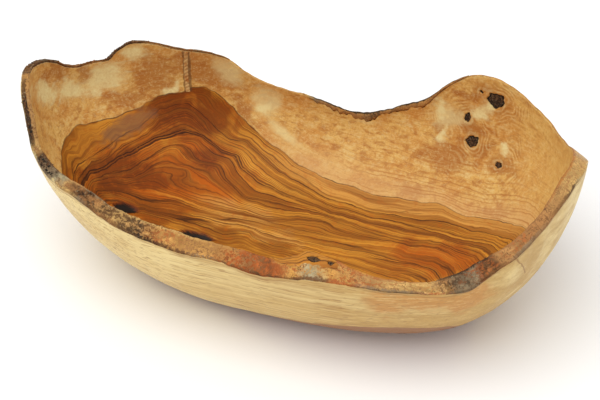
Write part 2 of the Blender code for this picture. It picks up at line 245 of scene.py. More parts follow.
# Growth lines across the hollow: ring value, then pixels along the line
GROWTH_LINES = (
    (0.0, ((63, 148), (66, 138), (75, 128), (95, 123), (118, 116), (153, 100), (170, 93), (190, 87),
           (203, 87), (215, 94), (232, 107), (250, 125), (267, 141), (283, 151), (298, 165), (330, 180),
           (370, 193), (413, 201), (440, 205), (465, 215), (500, 222), (522, 226))),
    (1.0, ((145, 122), (155, 112), (175, 104), (187, 102), (200, 111), (215, 127), (230, 138),
           (246, 142), (262, 158), (290, 178), (325, 198), (370, 211), (420, 219), (445, 222),
           (465, 229), (510, 240))),
    (1.5, ((160, 121), (175, 115), (185, 112), (195, 117), (210, 133))),
    (2.0, ((84, 181), (90, 173), (100, 172), (120, 159), (140, 148), (155, 139), (185, 131),
           (203, 136), (222, 151), (236, 155), (242, 168), (260, 182), (295, 199), (330, 213),
           (375, 223), (425, 234), (455, 242), (490, 252))),
    (2.7, ((106, 175), (123, 173), (133, 169), (141, 163), (150, 157), (157, 153), (163, 149), (170, 147),
           (178, 148), (184, 154), (190, 160), (197, 165), (207, 166), (216, 167), (219, 173), (224, 180),
           (234, 187), (247, 197), (290, 207), (350, 223), (400, 238), (440, 244), (475, 257))),
    (3.0, ((135, 177), (150, 168), (161, 158), (170, 160), (179, 165), (189, 168), (199, 175),
           (207, 182), (220, 190), (241, 203))),
    (3.3, ((113, 182), (123, 184), (134, 182), (144, 180), (153, 180), (160, 185), (170, 191),
           (183, 194), (200, 200), (220, 206), (243, 211))),
    (3.7, ((96, 187), (110, 188), (130, 191), (150, 194), (170, 199), (183, 202), (193, 207), (203, 211),
           (220, 215), (240, 218), (262, 222), (300, 230), (350, 240), (400, 248))),
    (4.4, ((104, 194), (117, 195), (131, 199), (141, 204), (156, 208), (170, 210), (184, 213), (196, 217),
           (210, 220), (227, 224), (243, 225), (262, 230), (290, 238), (360, 252), (430, 268))),
    (5.2, ((143, 208), (149, 211), (163, 214), (179, 218), (191, 222), (206, 227), (213, 229), (224, 233),
           (239, 231), (249, 232), (254, 237), (270, 244), (298, 251), (345, 263))),
)
# Ring value on the wall where no line is read: (bearing, slope, ring value)
GROWTH_ANCHORS = (
    (10, 90, -5.0), (40, 90, -5.0), (70, 90, -4.0), (100, 90, -4.0), (130, 90, -4.5), (160, 90, -4.5),
    (185, 90, -4.5), (205, 90, -3.5), (225, 90, -3.0), (250, 90, -3.0), (268, 90, 0.6),
    (276, 90, 2.6), (290, 90, 3.4), (299, 90, 3.2), (305, 90, 2.2), (312, 90, -0.6), (325, 90, -3.0),
    (345, 90, -4.0), (225, 64, 0.0), (250, 62, 0.0), (270, 62, 1.6), (315, 62, 1.6), (330, 64, 0.0),
)

# Growth surface: step along a line in pixels, softness, length of the flat hollow to its width
LINE_STEP = 7.0
GROWTH_SOFTNESS = 0.0001
FLAT_LENGTH = 1.75
# Least and most rings to the millimetre
PITCH_RANGE = (0.025, 0.4)

# Ring lines that show: ring value, half width in mm, depth of tone
RING_LINES = ((0.0, 0.48, 0.75), (1.0, 0.50, 0.85), (1.5, 0.42, 0.6), (2.7, 0.42, 0.75),
              (3.0, 0.36, 0.5), (3.3, 0.36, 0.55), (4.4, 0.36, 0.6), (5.2, 0.42, 0.7))
SHAKE_RING = 2.0
# Soft brown bands towards the right: ring value, half width in mm, depth of tone
BROWN_BANDS = ((0.12, 2.0, 0.24), (1.90, 3.0, 0.75), (2.7, 1.6, 0.50))

# Soft patches in the hollow: (across, down, half width, half height, lean) in pixels and degrees.
# Glow is a pale stretch of heartwood, the dark patches just behind the front rim are painted shade, and quiet
# is where its lines swirl.
HOLLOW_PATCHES = {
    "cream": (
        (104, 79, 20, 13, -25), (44, 92, 12, 9, 0), (72, 88, 14, 8, 0), (135, 53, 13, 7, 0),
        (168, 87, 9, 3.5, -22), (258, 102, 5, 4, 30),
        (437, 112, 6, 6, 0), (445, 135, 4, 6, 0), (503, 149, 4, 4, 0),
        (479, 113, 7, 7, 0),
    ),
    "pale": (
        (229, 70, 9, 13, -30), (264, 100, 13, 10, 35), (279, 133, 18, 5, 45), (445, 118, 16, 9, 20),
    ),
    "brown": (
        (196, 68, 34, 17, 15), (154, 74, 24, 22, 0), (85, 73, 7, 7, 0), (47, 78, 8, 8, 0),
        (60, 72, 9, 8, 0), (125, 98, 22, 8, -12), (438, 126, 7, 8, 0), (452, 122, 4, 9, 30),
        (450, 148, 14, 9, 30), (486, 150, 10, 6, -20), (505, 166, 15, 6, 0), (470, 130, 14, 6, 20),
        (470, 97, 10, 4, 0), (444, 158, 24, 13, 10), (500, 206, 6, 7, 0), (225, 75, 10, 22, -40),
        (243, 110, 17, 5, 45), (409, 190, 15, 5, 15), (495, 213, 16, 6, 10),
    ),
    "grey": (
        (134, 119, 20, 9, -25), (118, 130, 20, 9, -25),
    ),
    "red": (
        (190, 117, 32, 15, 5), (218, 116, 12, 9, 35), (105, 168, 26, 9, -20), (112, 186, 18, 10, 20),
        (205, 155, 18, 8, 20), (150, 176, 26, 8, 15), (166, 100, 24, 8, -22), (196, 93, 24, 7, 5),
        (212, 97, 12, 8, 35),
    ),
    "ember": (
        (172, 172, 66, 26, 10), (205, 150, 30, 16, 20), (440, 262, 44, 16, 10), (105, 180, 30, 14, -10),
        (185, 112, 40, 20, 0), (138, 203, 46, 17, 18),
    ),
    "glow": (
        (228, 211, 24, 8, 25), (232, 224, 26, 6, 12), (275, 236, 26, 7, 12), (262, 216, 18, 6, 22),
    ),
    # Painted shade on the hollow just behind the front rim
    "dusk": (
        (216, 233, 24, 5, 14), (275, 249, 30, 5, 10), (160, 216, 30, 8, 18), (112, 193, 16, 7, 20),
    ),
    "quiet": (
        (83, 137, 27, 22, 0), (128, 126, 30, 12, -25), (224, 119, 21, 14, 42),
    ),
}
# Dark hollows tucked behind the rim, pointed at both ends
BLACK_POCKETS = (
    (126, 207.5, 14, 4.6, 16), (196, 235.5, 19, 3.6, 14),
)
POCKET_SINK = 2.2 * MM
# Top of the painted shade along the foot of the outside, where the wall turns under: (bearing in degrees,
# millimetres)
FOOT_SHADE_BAND = (
    (240, 6), (262, 12), (285, 19), (298, 24), (308, 29), (318, 31), (326, 31), (331, 29), (336, 22),
    (342, 12), (350, 4),
)
# Soft amber patches on the outside
TAN_PATCHES = (
    (385, 301, 19, 10, 4), (420, 302, 30, 8, 0), (470, 300, 18, 8, -20),
)
# Ring value of wood away from the hollow, and height share of an even crust
PLAIN_RING = -4.0
EVEN_CRUST = 0.55
# Swelling of the front rim: its bearings, and the share of its width with heartwood
BURL_BEARINGS = (273.0, 302.0)
BURL_SHARE = 0.45

# How finely the wood is made: points round it, rows, and shares across the rim
BEARING_COUNT = 600
OUTSIDE_ROWS = 34
HOLLOW_ROWS = 84
RIM_SHARES = (1.0, 0.96, 0.86, 0.77, 0.68, 0.59, 0.5, 0.41, 0.32, 0.23, 0.14, 0.04, 0.0)
BASE_SHARES = (0.3, 0.6, 0.85, 0.97)
EDGE_ROUNDING = 0.5 * MM
# Least fall of the wall for each degree below the rim
WALL_FALL = 0.02 * MM
# How finely the bark is made: step round the rim, middle radius in mm, size of a lump in mm
BARK_STEP_DEGREES = 0.3
BARK_SPREAD = 95.0
LUMP = 5.0
TOP_SHARES = tuple(step / 12.0 for step in range(13))
# Loose flakes: least upward turn and area of the bark under them, their unevenness,
# and the square centimetres in a square metre
FLAKE_GROUND_RISE = 0.35
FLAKE_GROUND_AREA = 1e-10
FLAKE_SHAKE = 0.3 * MM
SQUARE_CENTIMETRES = 1.0e4
# How finely the knots and the filler are made
KNOT_SIDES = 40
KNOT_RINGS = 9
FILLER_STEPS = 90
FILLER_SHARES = (-1.0, -0.82, -0.55, -0.25, 0.0, 0.25, 0.55, 0.82, 1.0)

# Stage
FLOOR_HALF = 6.0
LAMP_PLACE = (-0.3, -0.8, 2.3)
LAMP_AIM = (0.0, 0.0, 0.05)
LAMP_WIDTH = 2.2


def unit_vector(vector):
    return vector / np.linalg.norm(vector, axis=-1, keepdims=True)


def smooth_step(value):
    share = np.clip(value, 0.0, 1.0)
    return share * share * (3.0 - 2.0 * share)


def around(stations, bearings):
    """Values at bearings: smooth through the stations, without overshoot."""
    count = len(stations)
    places = np.array([place for place, _ in stations], float)
    places = np.concatenate([places - 360.0, places, places + 360.0])
    values = np.tile([value for _, value in stations], 3).astype(float)
    widths = np.diff(places)
    slopes = np.diff(values) / widths
    before = slopes[:-1]
    after = slopes[1:]
    steady = before * after > 0.0
    tangents = np.zeros(3 * count)
    tangents[1:-1][steady] = 2.0 * (before * after)[steady] / (before + after)[steady]
    turn = np.mod(np.asarray(bearings, float), 360.0)
    index = np.searchsorted(places, turn, side="right") - 1
    span = widths[index]
    share = (turn - places[index]) / span
    start = tangents[index] * span
    end = tangents[index + 1] * span
    rise = values[index + 1] - values[index]
    bend = 3.0 * rise - 2.0 * start - end
    return values[index] + share * (start + share * (bend + share * (start + end - 2.0 * rise)))


def between(stations, bearings, period=None):
    """Values at bearings: straight from one station to the next."""
    places, values = zip(*stations)
    return np.interp(bearings, places, values, period=period)


def oval(length, width, fullness, bearings):
    """Reach of a rounded oval at bearings."""
    angle = np.radians(bearings)
    along = np.abs(2.0 * np.cos(angle) / length) ** fullness
    across = np.abs(2.0 * np.sin(angle) / width) ** fullness
    return (along + across) ** (-1.0 / fullness)


def ripple(bearings, phase):
    """A small even unrest round the rim, between -1 and 1."""
    bearings = np.asarray(bearings)
    total = np.zeros(bearings.shape)
    for step, turns in enumerate((17, 29, 43, 61, 89, 127)):
        wave = np.sin(np.radians(turns * bearings) + phase * (step + 1.7))
        total = total + wave / (1.0 + 0.3 * step)
    return total / 2.6


class BowlShape:
    """The bowl's surfaces by bearing and slope, as the solid part has them."""

    def __init__(self, sizes):
        self.sizes = sizes
        self.middle = np.zeros(3)
        bearings = np.arange(0.0, 360.0, 2.5)
        outline = self.rim(bearings, 1.0)
        self.middle = 0.5 * (outline.min(0) + outline.max(0))
        self.middle[2] = 0.0

    def polar(self, bearings, reach, height):
        angle = np.radians(bearings)
        height = np.broadcast_to(height, np.shape(reach))
        return np.stack([reach * np.cos(angle), reach * np.sin(angle), height], -1) - self.middle

    def outer_reach(self, bearings):
        plan = oval(self.sizes.length, self.sizes.width, PLAN_FULLNESS, bearings)
        return plan + around(OUTLINE_SWELL, bearings) * MM

    def inner_reach(self, bearings):
        return self.outer_reach(bearings) - around(RIM_WIDTH, bearings) * MM

    def rim(self, bearings, across, lowered=0.0):
        """Points on the finished rim: 0 across is its inner edge and 1 its outer edge."""
        inner = self.inner_reach(bearings) + 0.5 * MM * ripple(bearings, 1.0)
        outer = self.outer_reach(bearings) + 0.3 * MM * ripple(bearings, 2.3)
        reach = inner + (outer - inner) * across
        height = around(RIM_HEIGHT, bearings) - around(RIM_FALL, bearings) * across
        height = height + 0.4 * ripple(bearings, 4.1)
        return self.polar(bearings, reach, height * MM - lowered)

    def edge_share(self, slopes):
        return smooth_step((slopes - EDGE_SLOPE) / (90.0 - EDGE_SLOPE))

    def top_height(self, bearings, slopes, across):
        fall = around(RIM_FALL, bearings) * across
        form = around(FORM_HEIGHT, bearings) - fall
        rim = around(RIM_HEIGHT, bearings) - fall
        return (form + (rim - form) * self.edge_share(slopes)) * MM

    def outside(self, bearings, slopes):
        """Points on the outside: slope 0 is the edge of the base and 90 the rim."""
        sizes = self.sizes
        rim = self.rim(bearings, 1.0)
        base = oval(sizes.base_length, sizes.base_width, PLAN_FULLNESS, bearings)
        foot = self.polar(bearings, base, 0.0)
        foot[..., 0] += sizes.base_shift
        angle = np.radians(slopes)
        power = 2.0 / around(WALL_FULLNESS, bearings)
        share = np.sin(angle) ** power
        points = foot + (rim - foot) * share[..., None]
        points[..., 2] = self.top_height(bearings, slopes, 1.0) * (1.0 - np.cos(angle) ** power)
        return points

    def inside(self, bearings, slopes):
        """Points in the hollow: slope 0 is the middle of the floor and 90 the rim."""
        sizes = self.sizes
        angle = np.radians(slopes)
        power = 2.0 / HOLLOW_FULLNESS
        rise = 1.0 - np.abs(np.cos(angle)) ** power
        depth = (self.top_height(bearings, slopes, 0.0) - sizes.floor_thickness) * rise
        plain = self.outer_reach(bearings) - sizes.wall_thickness
        reach = plain + (self.inner_reach(bearings) - plain) * self.edge_share(slopes)
        reach = reach * np.abs(np.sin(angle)) ** power
        return self.polar(bearings, reach, sizes.floor_thickness + depth)

    def inside_frame(self, bearing, slope):
        """Place on the wall, direction into the hollow, level direction and upward direction."""
        turn = np.array([bearing, bearing + 0.5, bearing - 0.5, bearing, bearing])
        rise = np.array([slope, slope, slope, slope + 0.5, slope - 0.5])
        points = self.inside(turn, rise)
        normal = unit_vector(np.cross(points[3] - points[4], points[1] - points[2]))
        level = unit_vector(np.cross((0.0, 0.0, 1.0), normal))
        return points[0], normal, level, np.cross(normal, level)

    def bark_depth(self, bearings):
        """Thickness of bark over the rim, thinner towards the ends of a patch."""
        depth = np.zeros(np.shape(bearings))
        for patch in BARK_PATCHES:
            inward = np.minimum(bearings - patch.first, patch.last - bearings)
            share = TAPER_SHARE + (1.0 - TAPER_SHARE) * np.clip(inward / TAPER_DEGREES, 0.0, 1.0)
            share = share * np.clip(1.0 + inward, 0.0, 1.0)
            depth = np.maximum(depth, patch.thickness * MM * share)
        return depth


class PhotoView:
    """The photograph's camera: rays through its pixels, and pixels of points."""

    def __init__(self, stage):
        self.back = np.array((
            math.sin(stage.azimuth) * math.cos(stage.elevation),
            -math.cos(stage.azimuth) * math.cos(stage.elevation),
            math.sin(stage.elevation),
        ))
        self.right = np.array((math.cos(stage.azimuth), math.sin(stage.azimuth), 0.0))
        self.up = np.cross(self.back, self.right)
        self.place = np.array(stage.aim) + self.back * stage.distance
        self.focal = stage.lens / SENSOR_MM * PHOTO_WIDTH

    def ray(self, across, down):
        sideways = self.right * (across - 0.5 * PHOTO_WIDTH)
        upward = self.up * (0.5 * PHOTO_HEIGHT - down)
        return unit_vector(sideways + upward - self.back * self.focal)

    def pixels(self, points):
        offset = points - self.place
        depth = -(offset @ self.back)
        across = 0.5 * PHOTO_WIDTH + self.focal * (offset @ self.right) / depth
        down = 0.5 * PHOTO_HEIGHT - self.focal * (offset @ self.up) / depth
        return np.stack([across, down], -1)


def fill_line(points, step):
    """Pixels along a line, no further apart than a step."""
    filled = [points[0]]
    for start, end in zip(points, points[1:]):
        parts = math.ceil(math.dist(start, end) / step)
        for part in range(1, parts + 1):
            share = part / parts
            filled.append((start[0] + (end[0] - start[0]) * share, start[1] + (end[1] - start[1]) * share))
    return filled


def hollow_finder(shape):
    """A surface of the hollow alone, to cast rays at."""
    bearings = np.arange(0.0, 360.0, 2.0)
    slopes = np.linspace(1.0, 90.0, 60)
    turn, rise = np.meshgrid(bearings, slopes)
    points = shape.inside(turn, rise).reshape(-1, 3)
    faces = [face[:1] + face[:0:-1] for face in ring_faces(len(slopes), len(bearings))]
    return BVHTree.FromPolygons([Vector(point) for point in points], faces)


def cast_on_hollow(shape, view, finder, pixel):
    """Bearing and slope where a pixel's ray meets the hollow from its open side."""
    direction = Vector(view.ray(*pixel))
    start = Vector(view.place)
    for _ in range(4):
        place, normal, _, _ = finder.ray_cast(start, direction)
        if place is None:
            return None
        if normal.dot(direction) < 0.0:
            break
        start = place + direction * MM
    point = np.array(place)
    bearing = math.degrees(math.atan2(point[1] + shape.middle[1], point[0] + shape.middle[0])) % 360.0
    slopes = np.linspace(0.0, 90.0, 721)
    wall = shape.inside(np.full(len(slopes), bearing), slopes)
    return bearing, slopes[np.argmin(np.linalg.norm(wall - point, axis=1))]


def unroll(bearings, slopes):
    """The hollow spread flat, so that a line on it can be smoothed."""
    share = np.asarray(slopes) / 90.0
    angle = np.radians(bearings)
    return np.stack([FLAT_LENGTH * share * np.cos(angle), share * np.sin(angle)], -1)


def bending(gaps):
    return np.where(gaps > 1e-9, gaps * gaps * np.log(np.maximum(gaps, 1e-9)), 0.0)


def thin_plate(places, values, softness):
    """A smooth surface over a plane, close to the values at its places."""
    count = len(places)
    gaps = np.linalg.norm(places[:, None] - places[None], axis=-1)
    system = np.zeros((count + 3, count + 3))
    system[:count, :count] = bending(gaps) + softness * np.eye(count)
    system[:count, count] = 1.0
    system[:count, count + 1:] = places
    system[count, :count] = 1.0
    system[count + 1:, :count] = places.T
    weights = np.linalg.solve(system, np.concatenate([values, np.zeros(3)]))

    def surface(spots):
        result = weights[count] + spots @ weights[count + 1:]
        for place, weight in zip(places, weights[:count]):
            result = result + weight * bending(np.linalg.norm(spots - place, axis=-1))
        return result

    return surface


def growth_surface(shape, view):
    """Ring value all over the hollow, from the growth lines that show."""
    finder = hollow_finder(shape)
    spots = []
    values = []
    for ring, line in GROWTH_LINES:
        for pixel in fill_line(line, LINE_STEP):
            found = cast_on_hollow(shape, view, finder, pixel)
            if found is None:
                continue
            spots.append(unroll(*found))
            values.append(ring)
    for bearing, slope, ring in GROWTH_ANCHORS:
        spots.append(unroll(bearing, slope))
        values.append(ring)
    return thin_plate(np.array(spots), np.array(values), GROWTH_SOFTNESS)


def patch_cover(pixels, patches, pointed=False):
    """Cover of patches at pixels: 1 in a patch's middle, 0.5 at its edge, 0 well outside."""
    cover = np.zeros(len(pixels))
    for across, down, half_width, half_height, lean in patches:
        angle = math.radians(lean)
        offset = pixels - np.array((across, down))
        along = (offset[:, 0] * math.cos(angle) + offset[:, 1] * math.sin(angle)) / half_width
        over = (offset[:, 1] * math.cos(angle) - offset[:, 0] * math.sin(angle)) / half_height
        reach = np.abs(over) + along ** 2 if pointed else np.hypot(along, over)
        cover = np.maximum(cover, 1.0 - 0.5 * reach)
    return np.clip(cover, 0.0, 1.0)


def unrest_at(points, scale, reach):
    """A small smooth wandering in two directions, for every point."""
    noise.seed_set(UNREST_SEED)
    moves = [noise.noise_vector(Vector(point) * scale)[:2] for point in points]
    return np.array(moves) * reach


def rim_tones(piece, bearings, points, colours):
    """Store the tones of the live edge for every point, with wandering borders."""
    sway = sum(unrest_at(points, scale, reach)[:, 0] for scale, reach in TONE_UNREST)
    places = [row[0] for row in RIM_TONES]
    for column, name in enumerate(TONE_NAMES, start=1):
        tones = np.array([tuple(getattr(colours, row[column])) for row in RIM_TONES])
        mixed = [np.interp(bearings + sway, places, tones[:, part], period=360.0) for part in range(3)]
        layer = piece.data.attributes.new(name, "FLOAT_COLOR", "POINT")
        filled = np.stack([*mixed, np.ones(len(points))], -1)
        layer.data.foreach_set("color", filled.astype(np.float32).ravel())


def add_object(name, data):
    item = bpy.data.objects.new(name, data)
    bpy.context.scene.collection.objects.link(item)
    return item


def new_piece(name, points, faces, material):
    mesh = bpy.data.meshes.new(name)
    mesh.from_pydata([tuple(point) for point in points], [], faces)
    mesh.validate()
    mesh.materials.append(material)
    mesh.shade_smooth()
    return add_object(name, mesh)


def keep_on_points(piece, **layers):
    """Store values for each point of a piece, for its material to read."""
    for name, values in layers.items():
        layer = piece.data.attributes.new(name, "FLOAT", "POINT")
        layer.data.foreach_set("value", np.asarray(values, np.float32))


def hand_over(piece, slot, *nodes):
    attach(piece, "root")
    if nodes:
        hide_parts(*nodes)


def ring_faces(row_count, count):
    """Faces between equal rings that turn anticlockwise and rise."""
    faces = []
    for row in range(row_count - 1):
        for step in range(count):
            low = row * count + step
            low_next = row * count + (step + 1) % count
            faces.append((low, low_next, low_next + count, low + count))
    return faces


def closing_fans(row_count, count):
    """Fans that close the first and the last ring on the two points after the rings."""
    first = row_count * count
    last_ring = first - count
    faces = []
    for step in range(count):
        step_next = (step + 1) % count
        faces.append((first, step_next, step))
        faces.append((first + 1, last_ring + step, last_ring + step_next))
    return faces


def new_strip(name, points, row_count, material):
    """A closed piece from equal rings with flat ends, its faces turned outwards."""
    count = len(points) // row_count
    last = len(points) - count
    ends = [tuple(reversed(range(count))), tuple(range(last, last + count))]
    piece = new_piece(name, points, ring_faces(row_count, count) + ends, material)
    work = bmesh.new()
    work.from_mesh(piece.data)
    bmesh.ops.triangulate(work, faces=[face for face in work.faces if len(face.verts) > 4])
    bmesh.ops.recalc_face_normals(work, faces=work.faces[:])
    work.to_mesh(piece.data)
    work.free()
    return piece


class NodeBench:
    """Short ways to place nodes in one tree."""

    def __init__(self, tree):
        self.tree = tree

    def place(self, kind, **settings):
        node = self.tree.nodes.new(kind)
        for name, value in settings.items():
            setattr(node, name, value)
        return node

    def feed(self, socket, value):
        if isinstance(value, bpy.types.NodeSocket):
            self.tree.links.new(value, socket)
        elif socket.type == "RGBA":
            socket.default_value = (*value, 1.0)
        else:
            socket.default_value = value

    def wire(self, node, **values):
        """Feed a node's sockets, named with _ for a space, and give its outputs."""
        for name, value in values.items():
            self.feed(node.inputs[name.replace("_", " ")], value)
        return node.outputs

    def math(self, operation, first, second=0.0):
        node = self.place("ShaderNodeMath", operation=operation)
        self.feed(node.inputs[0], first)
        self.feed(node.inputs[1], second)
        return node.outputs[0]

    def times(self, first, *others):
        for other in others:
            first = self.math("MULTIPLY", first, other)
        return first

    def plus(self, first, second):
        return self.math("ADD", first, second)

    def gap(self, first, second=0.0):
        """Distance between two values."""
        return self.math("ABSOLUTE", self.math("SUBTRACT", first, second))

    def most(self, first, second):
        return self.math("MAXIMUM", first, second)

    def span(self, value, low, high, start, end, kind="LINEAR"):
        """A value of one range laid over another range."""
        node = self.place("ShaderNodeMapRange", interpolation_type=kind)
        return self.wire(node, Value=value, From_Min=low, From_Max=high, To_Min=start, To_Max=end)["Result"]

    def fade(self, value, low, high):
        """A soft step from 0 at the low value to 1 at the high one."""
        return self.span(value, low, high, 0.0, 1.0, "SMOOTHSTEP")

    def sway(self, grain, reach):
        """A noise as a move either way."""
        return self.span(grain, 0.3, 0.7, -reach, reach)

    def ragged(self, cover, grain, low, high):
        """A soft patch with its edge broken up by a noise."""
        return self.fade(self.plus(cover, self.sway(grain, 0.22)), low, high)

    def blend(self, factor, first, second, kind="MIX"):
        node = self.place("ShaderNodeMix", data_type="RGBA", blend_type=kind)
        for number, value in ((0, factor), (6, first), (7, second)):
            self.feed(node.inputs[number], value)
        return node.outputs[2]

    def layers(self, colour, *washes):
        """A colour under washes, each a tone and the covers that thin it."""
        for tone, *covers in washes:
            colour = self.blend(self.times(*covers), colour, tone)
        return colour

    def noise(self, vector, scale, detail=3.0, roughness=0.5, distortion=0.0, number=None):
        node = self.place("ShaderNodeTexNoise")
        if number is not None:
            node.noise_dimensions = "4D"
            self.wire(node, W=number)
        return self.wire(node, Vector=vector, Scale=scale, Detail=detail, Roughness=roughness,
                         Distortion=distortion)[0]

    def stretch(self, vector, factors):
        node = self.place("ShaderNodeVectorMath", operation="MULTIPLY")
        self.feed(node.inputs[0], vector)
        self.feed(node.inputs[1], factors)
        return node.outputs[0]

    def join(self, first, second, third):
        return self.wire(self.place("ShaderNodeCombineXYZ"), X=first, Y=second, Z=third)[0]

    def part(self, vector, axis):
        return self.wire(self.place("ShaderNodeSeparateXYZ"), Vector=vector)[axis]

    def attribute(self, name, output="Fac"):
        return self.place("ShaderNodeAttribute", attribute_name=name).outputs[output]

    def object_place(self):
        return self.place("ShaderNodeTexCoord").outputs["Object"]

    def group(self, tree, **values):
        return self.wire(self.place("ShaderNodeGroup", node_tree=tree), **values)


def new_group(name, inputs, outputs, kind="ShaderNodeTree"):
    """An empty group with its named sockets, and a bench to fill it."""
    tree = bpy.data.node_groups.new(name, kind)
    for way, sockets in (("INPUT", inputs), ("OUTPUT", outputs)):
        for label, content in sockets:
            tree.interface.new_socket(label, in_out=way, socket_type="NodeSocket" + content)
    bench = NodeBench(tree)
    given = bench.place("NodeGroupInput").outputs
    result = bench.place("NodeGroupOutput")
    return tree, bench, given, result


def fibre_group():
    """Streaks and pores of wood fibre that run along one stretched direction."""
    found = bpy.data.node_groups.get("wood fibre")
    if found:
        return found
    tree, bench, given, result = new_group(
        "wood fibre",
        (("Grain Space", "Vector"), ("Pore Share", "Float")),
        (("Streak", "Float"), ("Fine", "Float"), ("Pores", "Float")),
    )
    space = given["Grain Space"]
    edge = bench.math("SUBTRACT", 0.74, given["Pore Share"])
    pores = bench.fade(bench.noise(space, 3.7, 1.0), edge, bench.plus(edge, 0.10))
    streak = bench.noise(space, 1.0, 4.0, 0.6)
    bench.wire(result, Streak=streak, Fine=bench.noise(space, 4.3, 3.0, 0.6), Pores=pores)
    return tree


def bark_group():
    """Colour, matt and height of the live edge from its tones, its relief and its grit, with shade painted
    into its fissures and light onto its ridges.
    """
    found = bpy.data.node_groups.get("live edge")
    if found:
        return found
    tree, bench, given, result = new_group(
        "live edge",
        (("Inner Edge", "Color"), ("Body", "Color"), ("Speckle", "Color"), ("Outer Edge", "Color"),
         ("Fissure", "Color"), ("Across", "Float"), ("Relief", "Float"), ("Matt", "Float"),
         ("Place", "Vector")),
        (("Color", "Color"), ("Roughness", "Float"), ("Height", "Float")),
    )
    place = given["Place"]
    grit = bench.noise(place, 1100.0, 4.0, 0.65)
    lump = bench.noise(place, 460.0, 4.0, 0.65, 0.5)
    cloud = bench.noise(place, 130.0, 3.0, 0.6)
    # Painted shade and painted light: the relief darkens the body and the outer edge in the fissures and
    # lightens them on the ridges
    shade = bench.span(bench.plus(given["Relief"], bench.sway(grit, 0.20)), 0.0, 1.0, 0.45, 1.45)
    shade = bench.times(shade, bench.span(cloud, 0.3, 0.7, 0.82, 1.18))
    tint = bench.join(shade, shade, shade)
    body = bench.blend(1.0, given["Body"], tint, "MULTIPLY")
    outer = bench.blend(1.0, given["Outer Edge"], tint, "MULTIPLY")
    low = bench.math("SUBTRACT", bench.plus(lump, bench.sway(grit, 0.12)),
                     bench.span(given["Relief"], 0.0, 1.0, -0.16, 0.16))
    over = bench.plus(given["Across"], bench.plus(bench.sway(lump, 0.12), bench.sway(grit, 0.06)))
    crease = bench.gap(bench.noise(place, 260.0, 3.0, 0.6, 1.2), 0.5)
    colour = bench.layers(
        body,
        (given["Speckle"], bench.fade(low, 0.47, 0.60), 0.85),
        (given["Inner Edge"], bench.fade(over, 0.22, 0.02), 0.85),
        (outer, bench.fade(over, 0.84, 0.97), 0.85),
        (given["Fissure"], bench.fade(crease, 0.030, 0.006), bench.fade(cloud, 0.40, 0.56), 0.85),
    )
    roughness = bench.plus(given["Matt"], bench.span(grit, 0.3, 0.7, -0.10, 0.06))
    bench.wire(result, Color=colour, Roughness=roughness, Height=bench.plus(bench.times(grit, 0.6), lump))
    return tree


def live_edge(bench, place, matt, colours):
    """The live edge group, fed with the tones that the piece's points carry."""
    inner, body, speckle, outer = (bench.attribute(name, "Color") for name in TONE_NAMES)
    return bench.group(
        bark_group(), Inner_Edge=inner, Body=body, Speckle=speckle, Outer_Edge=outer,
        Fissure=tuple(colours.bark_brown), Across=bench.attribute("across"),
        Relief=bench.attribute("crust"), Matt=matt, Place=place,
    )


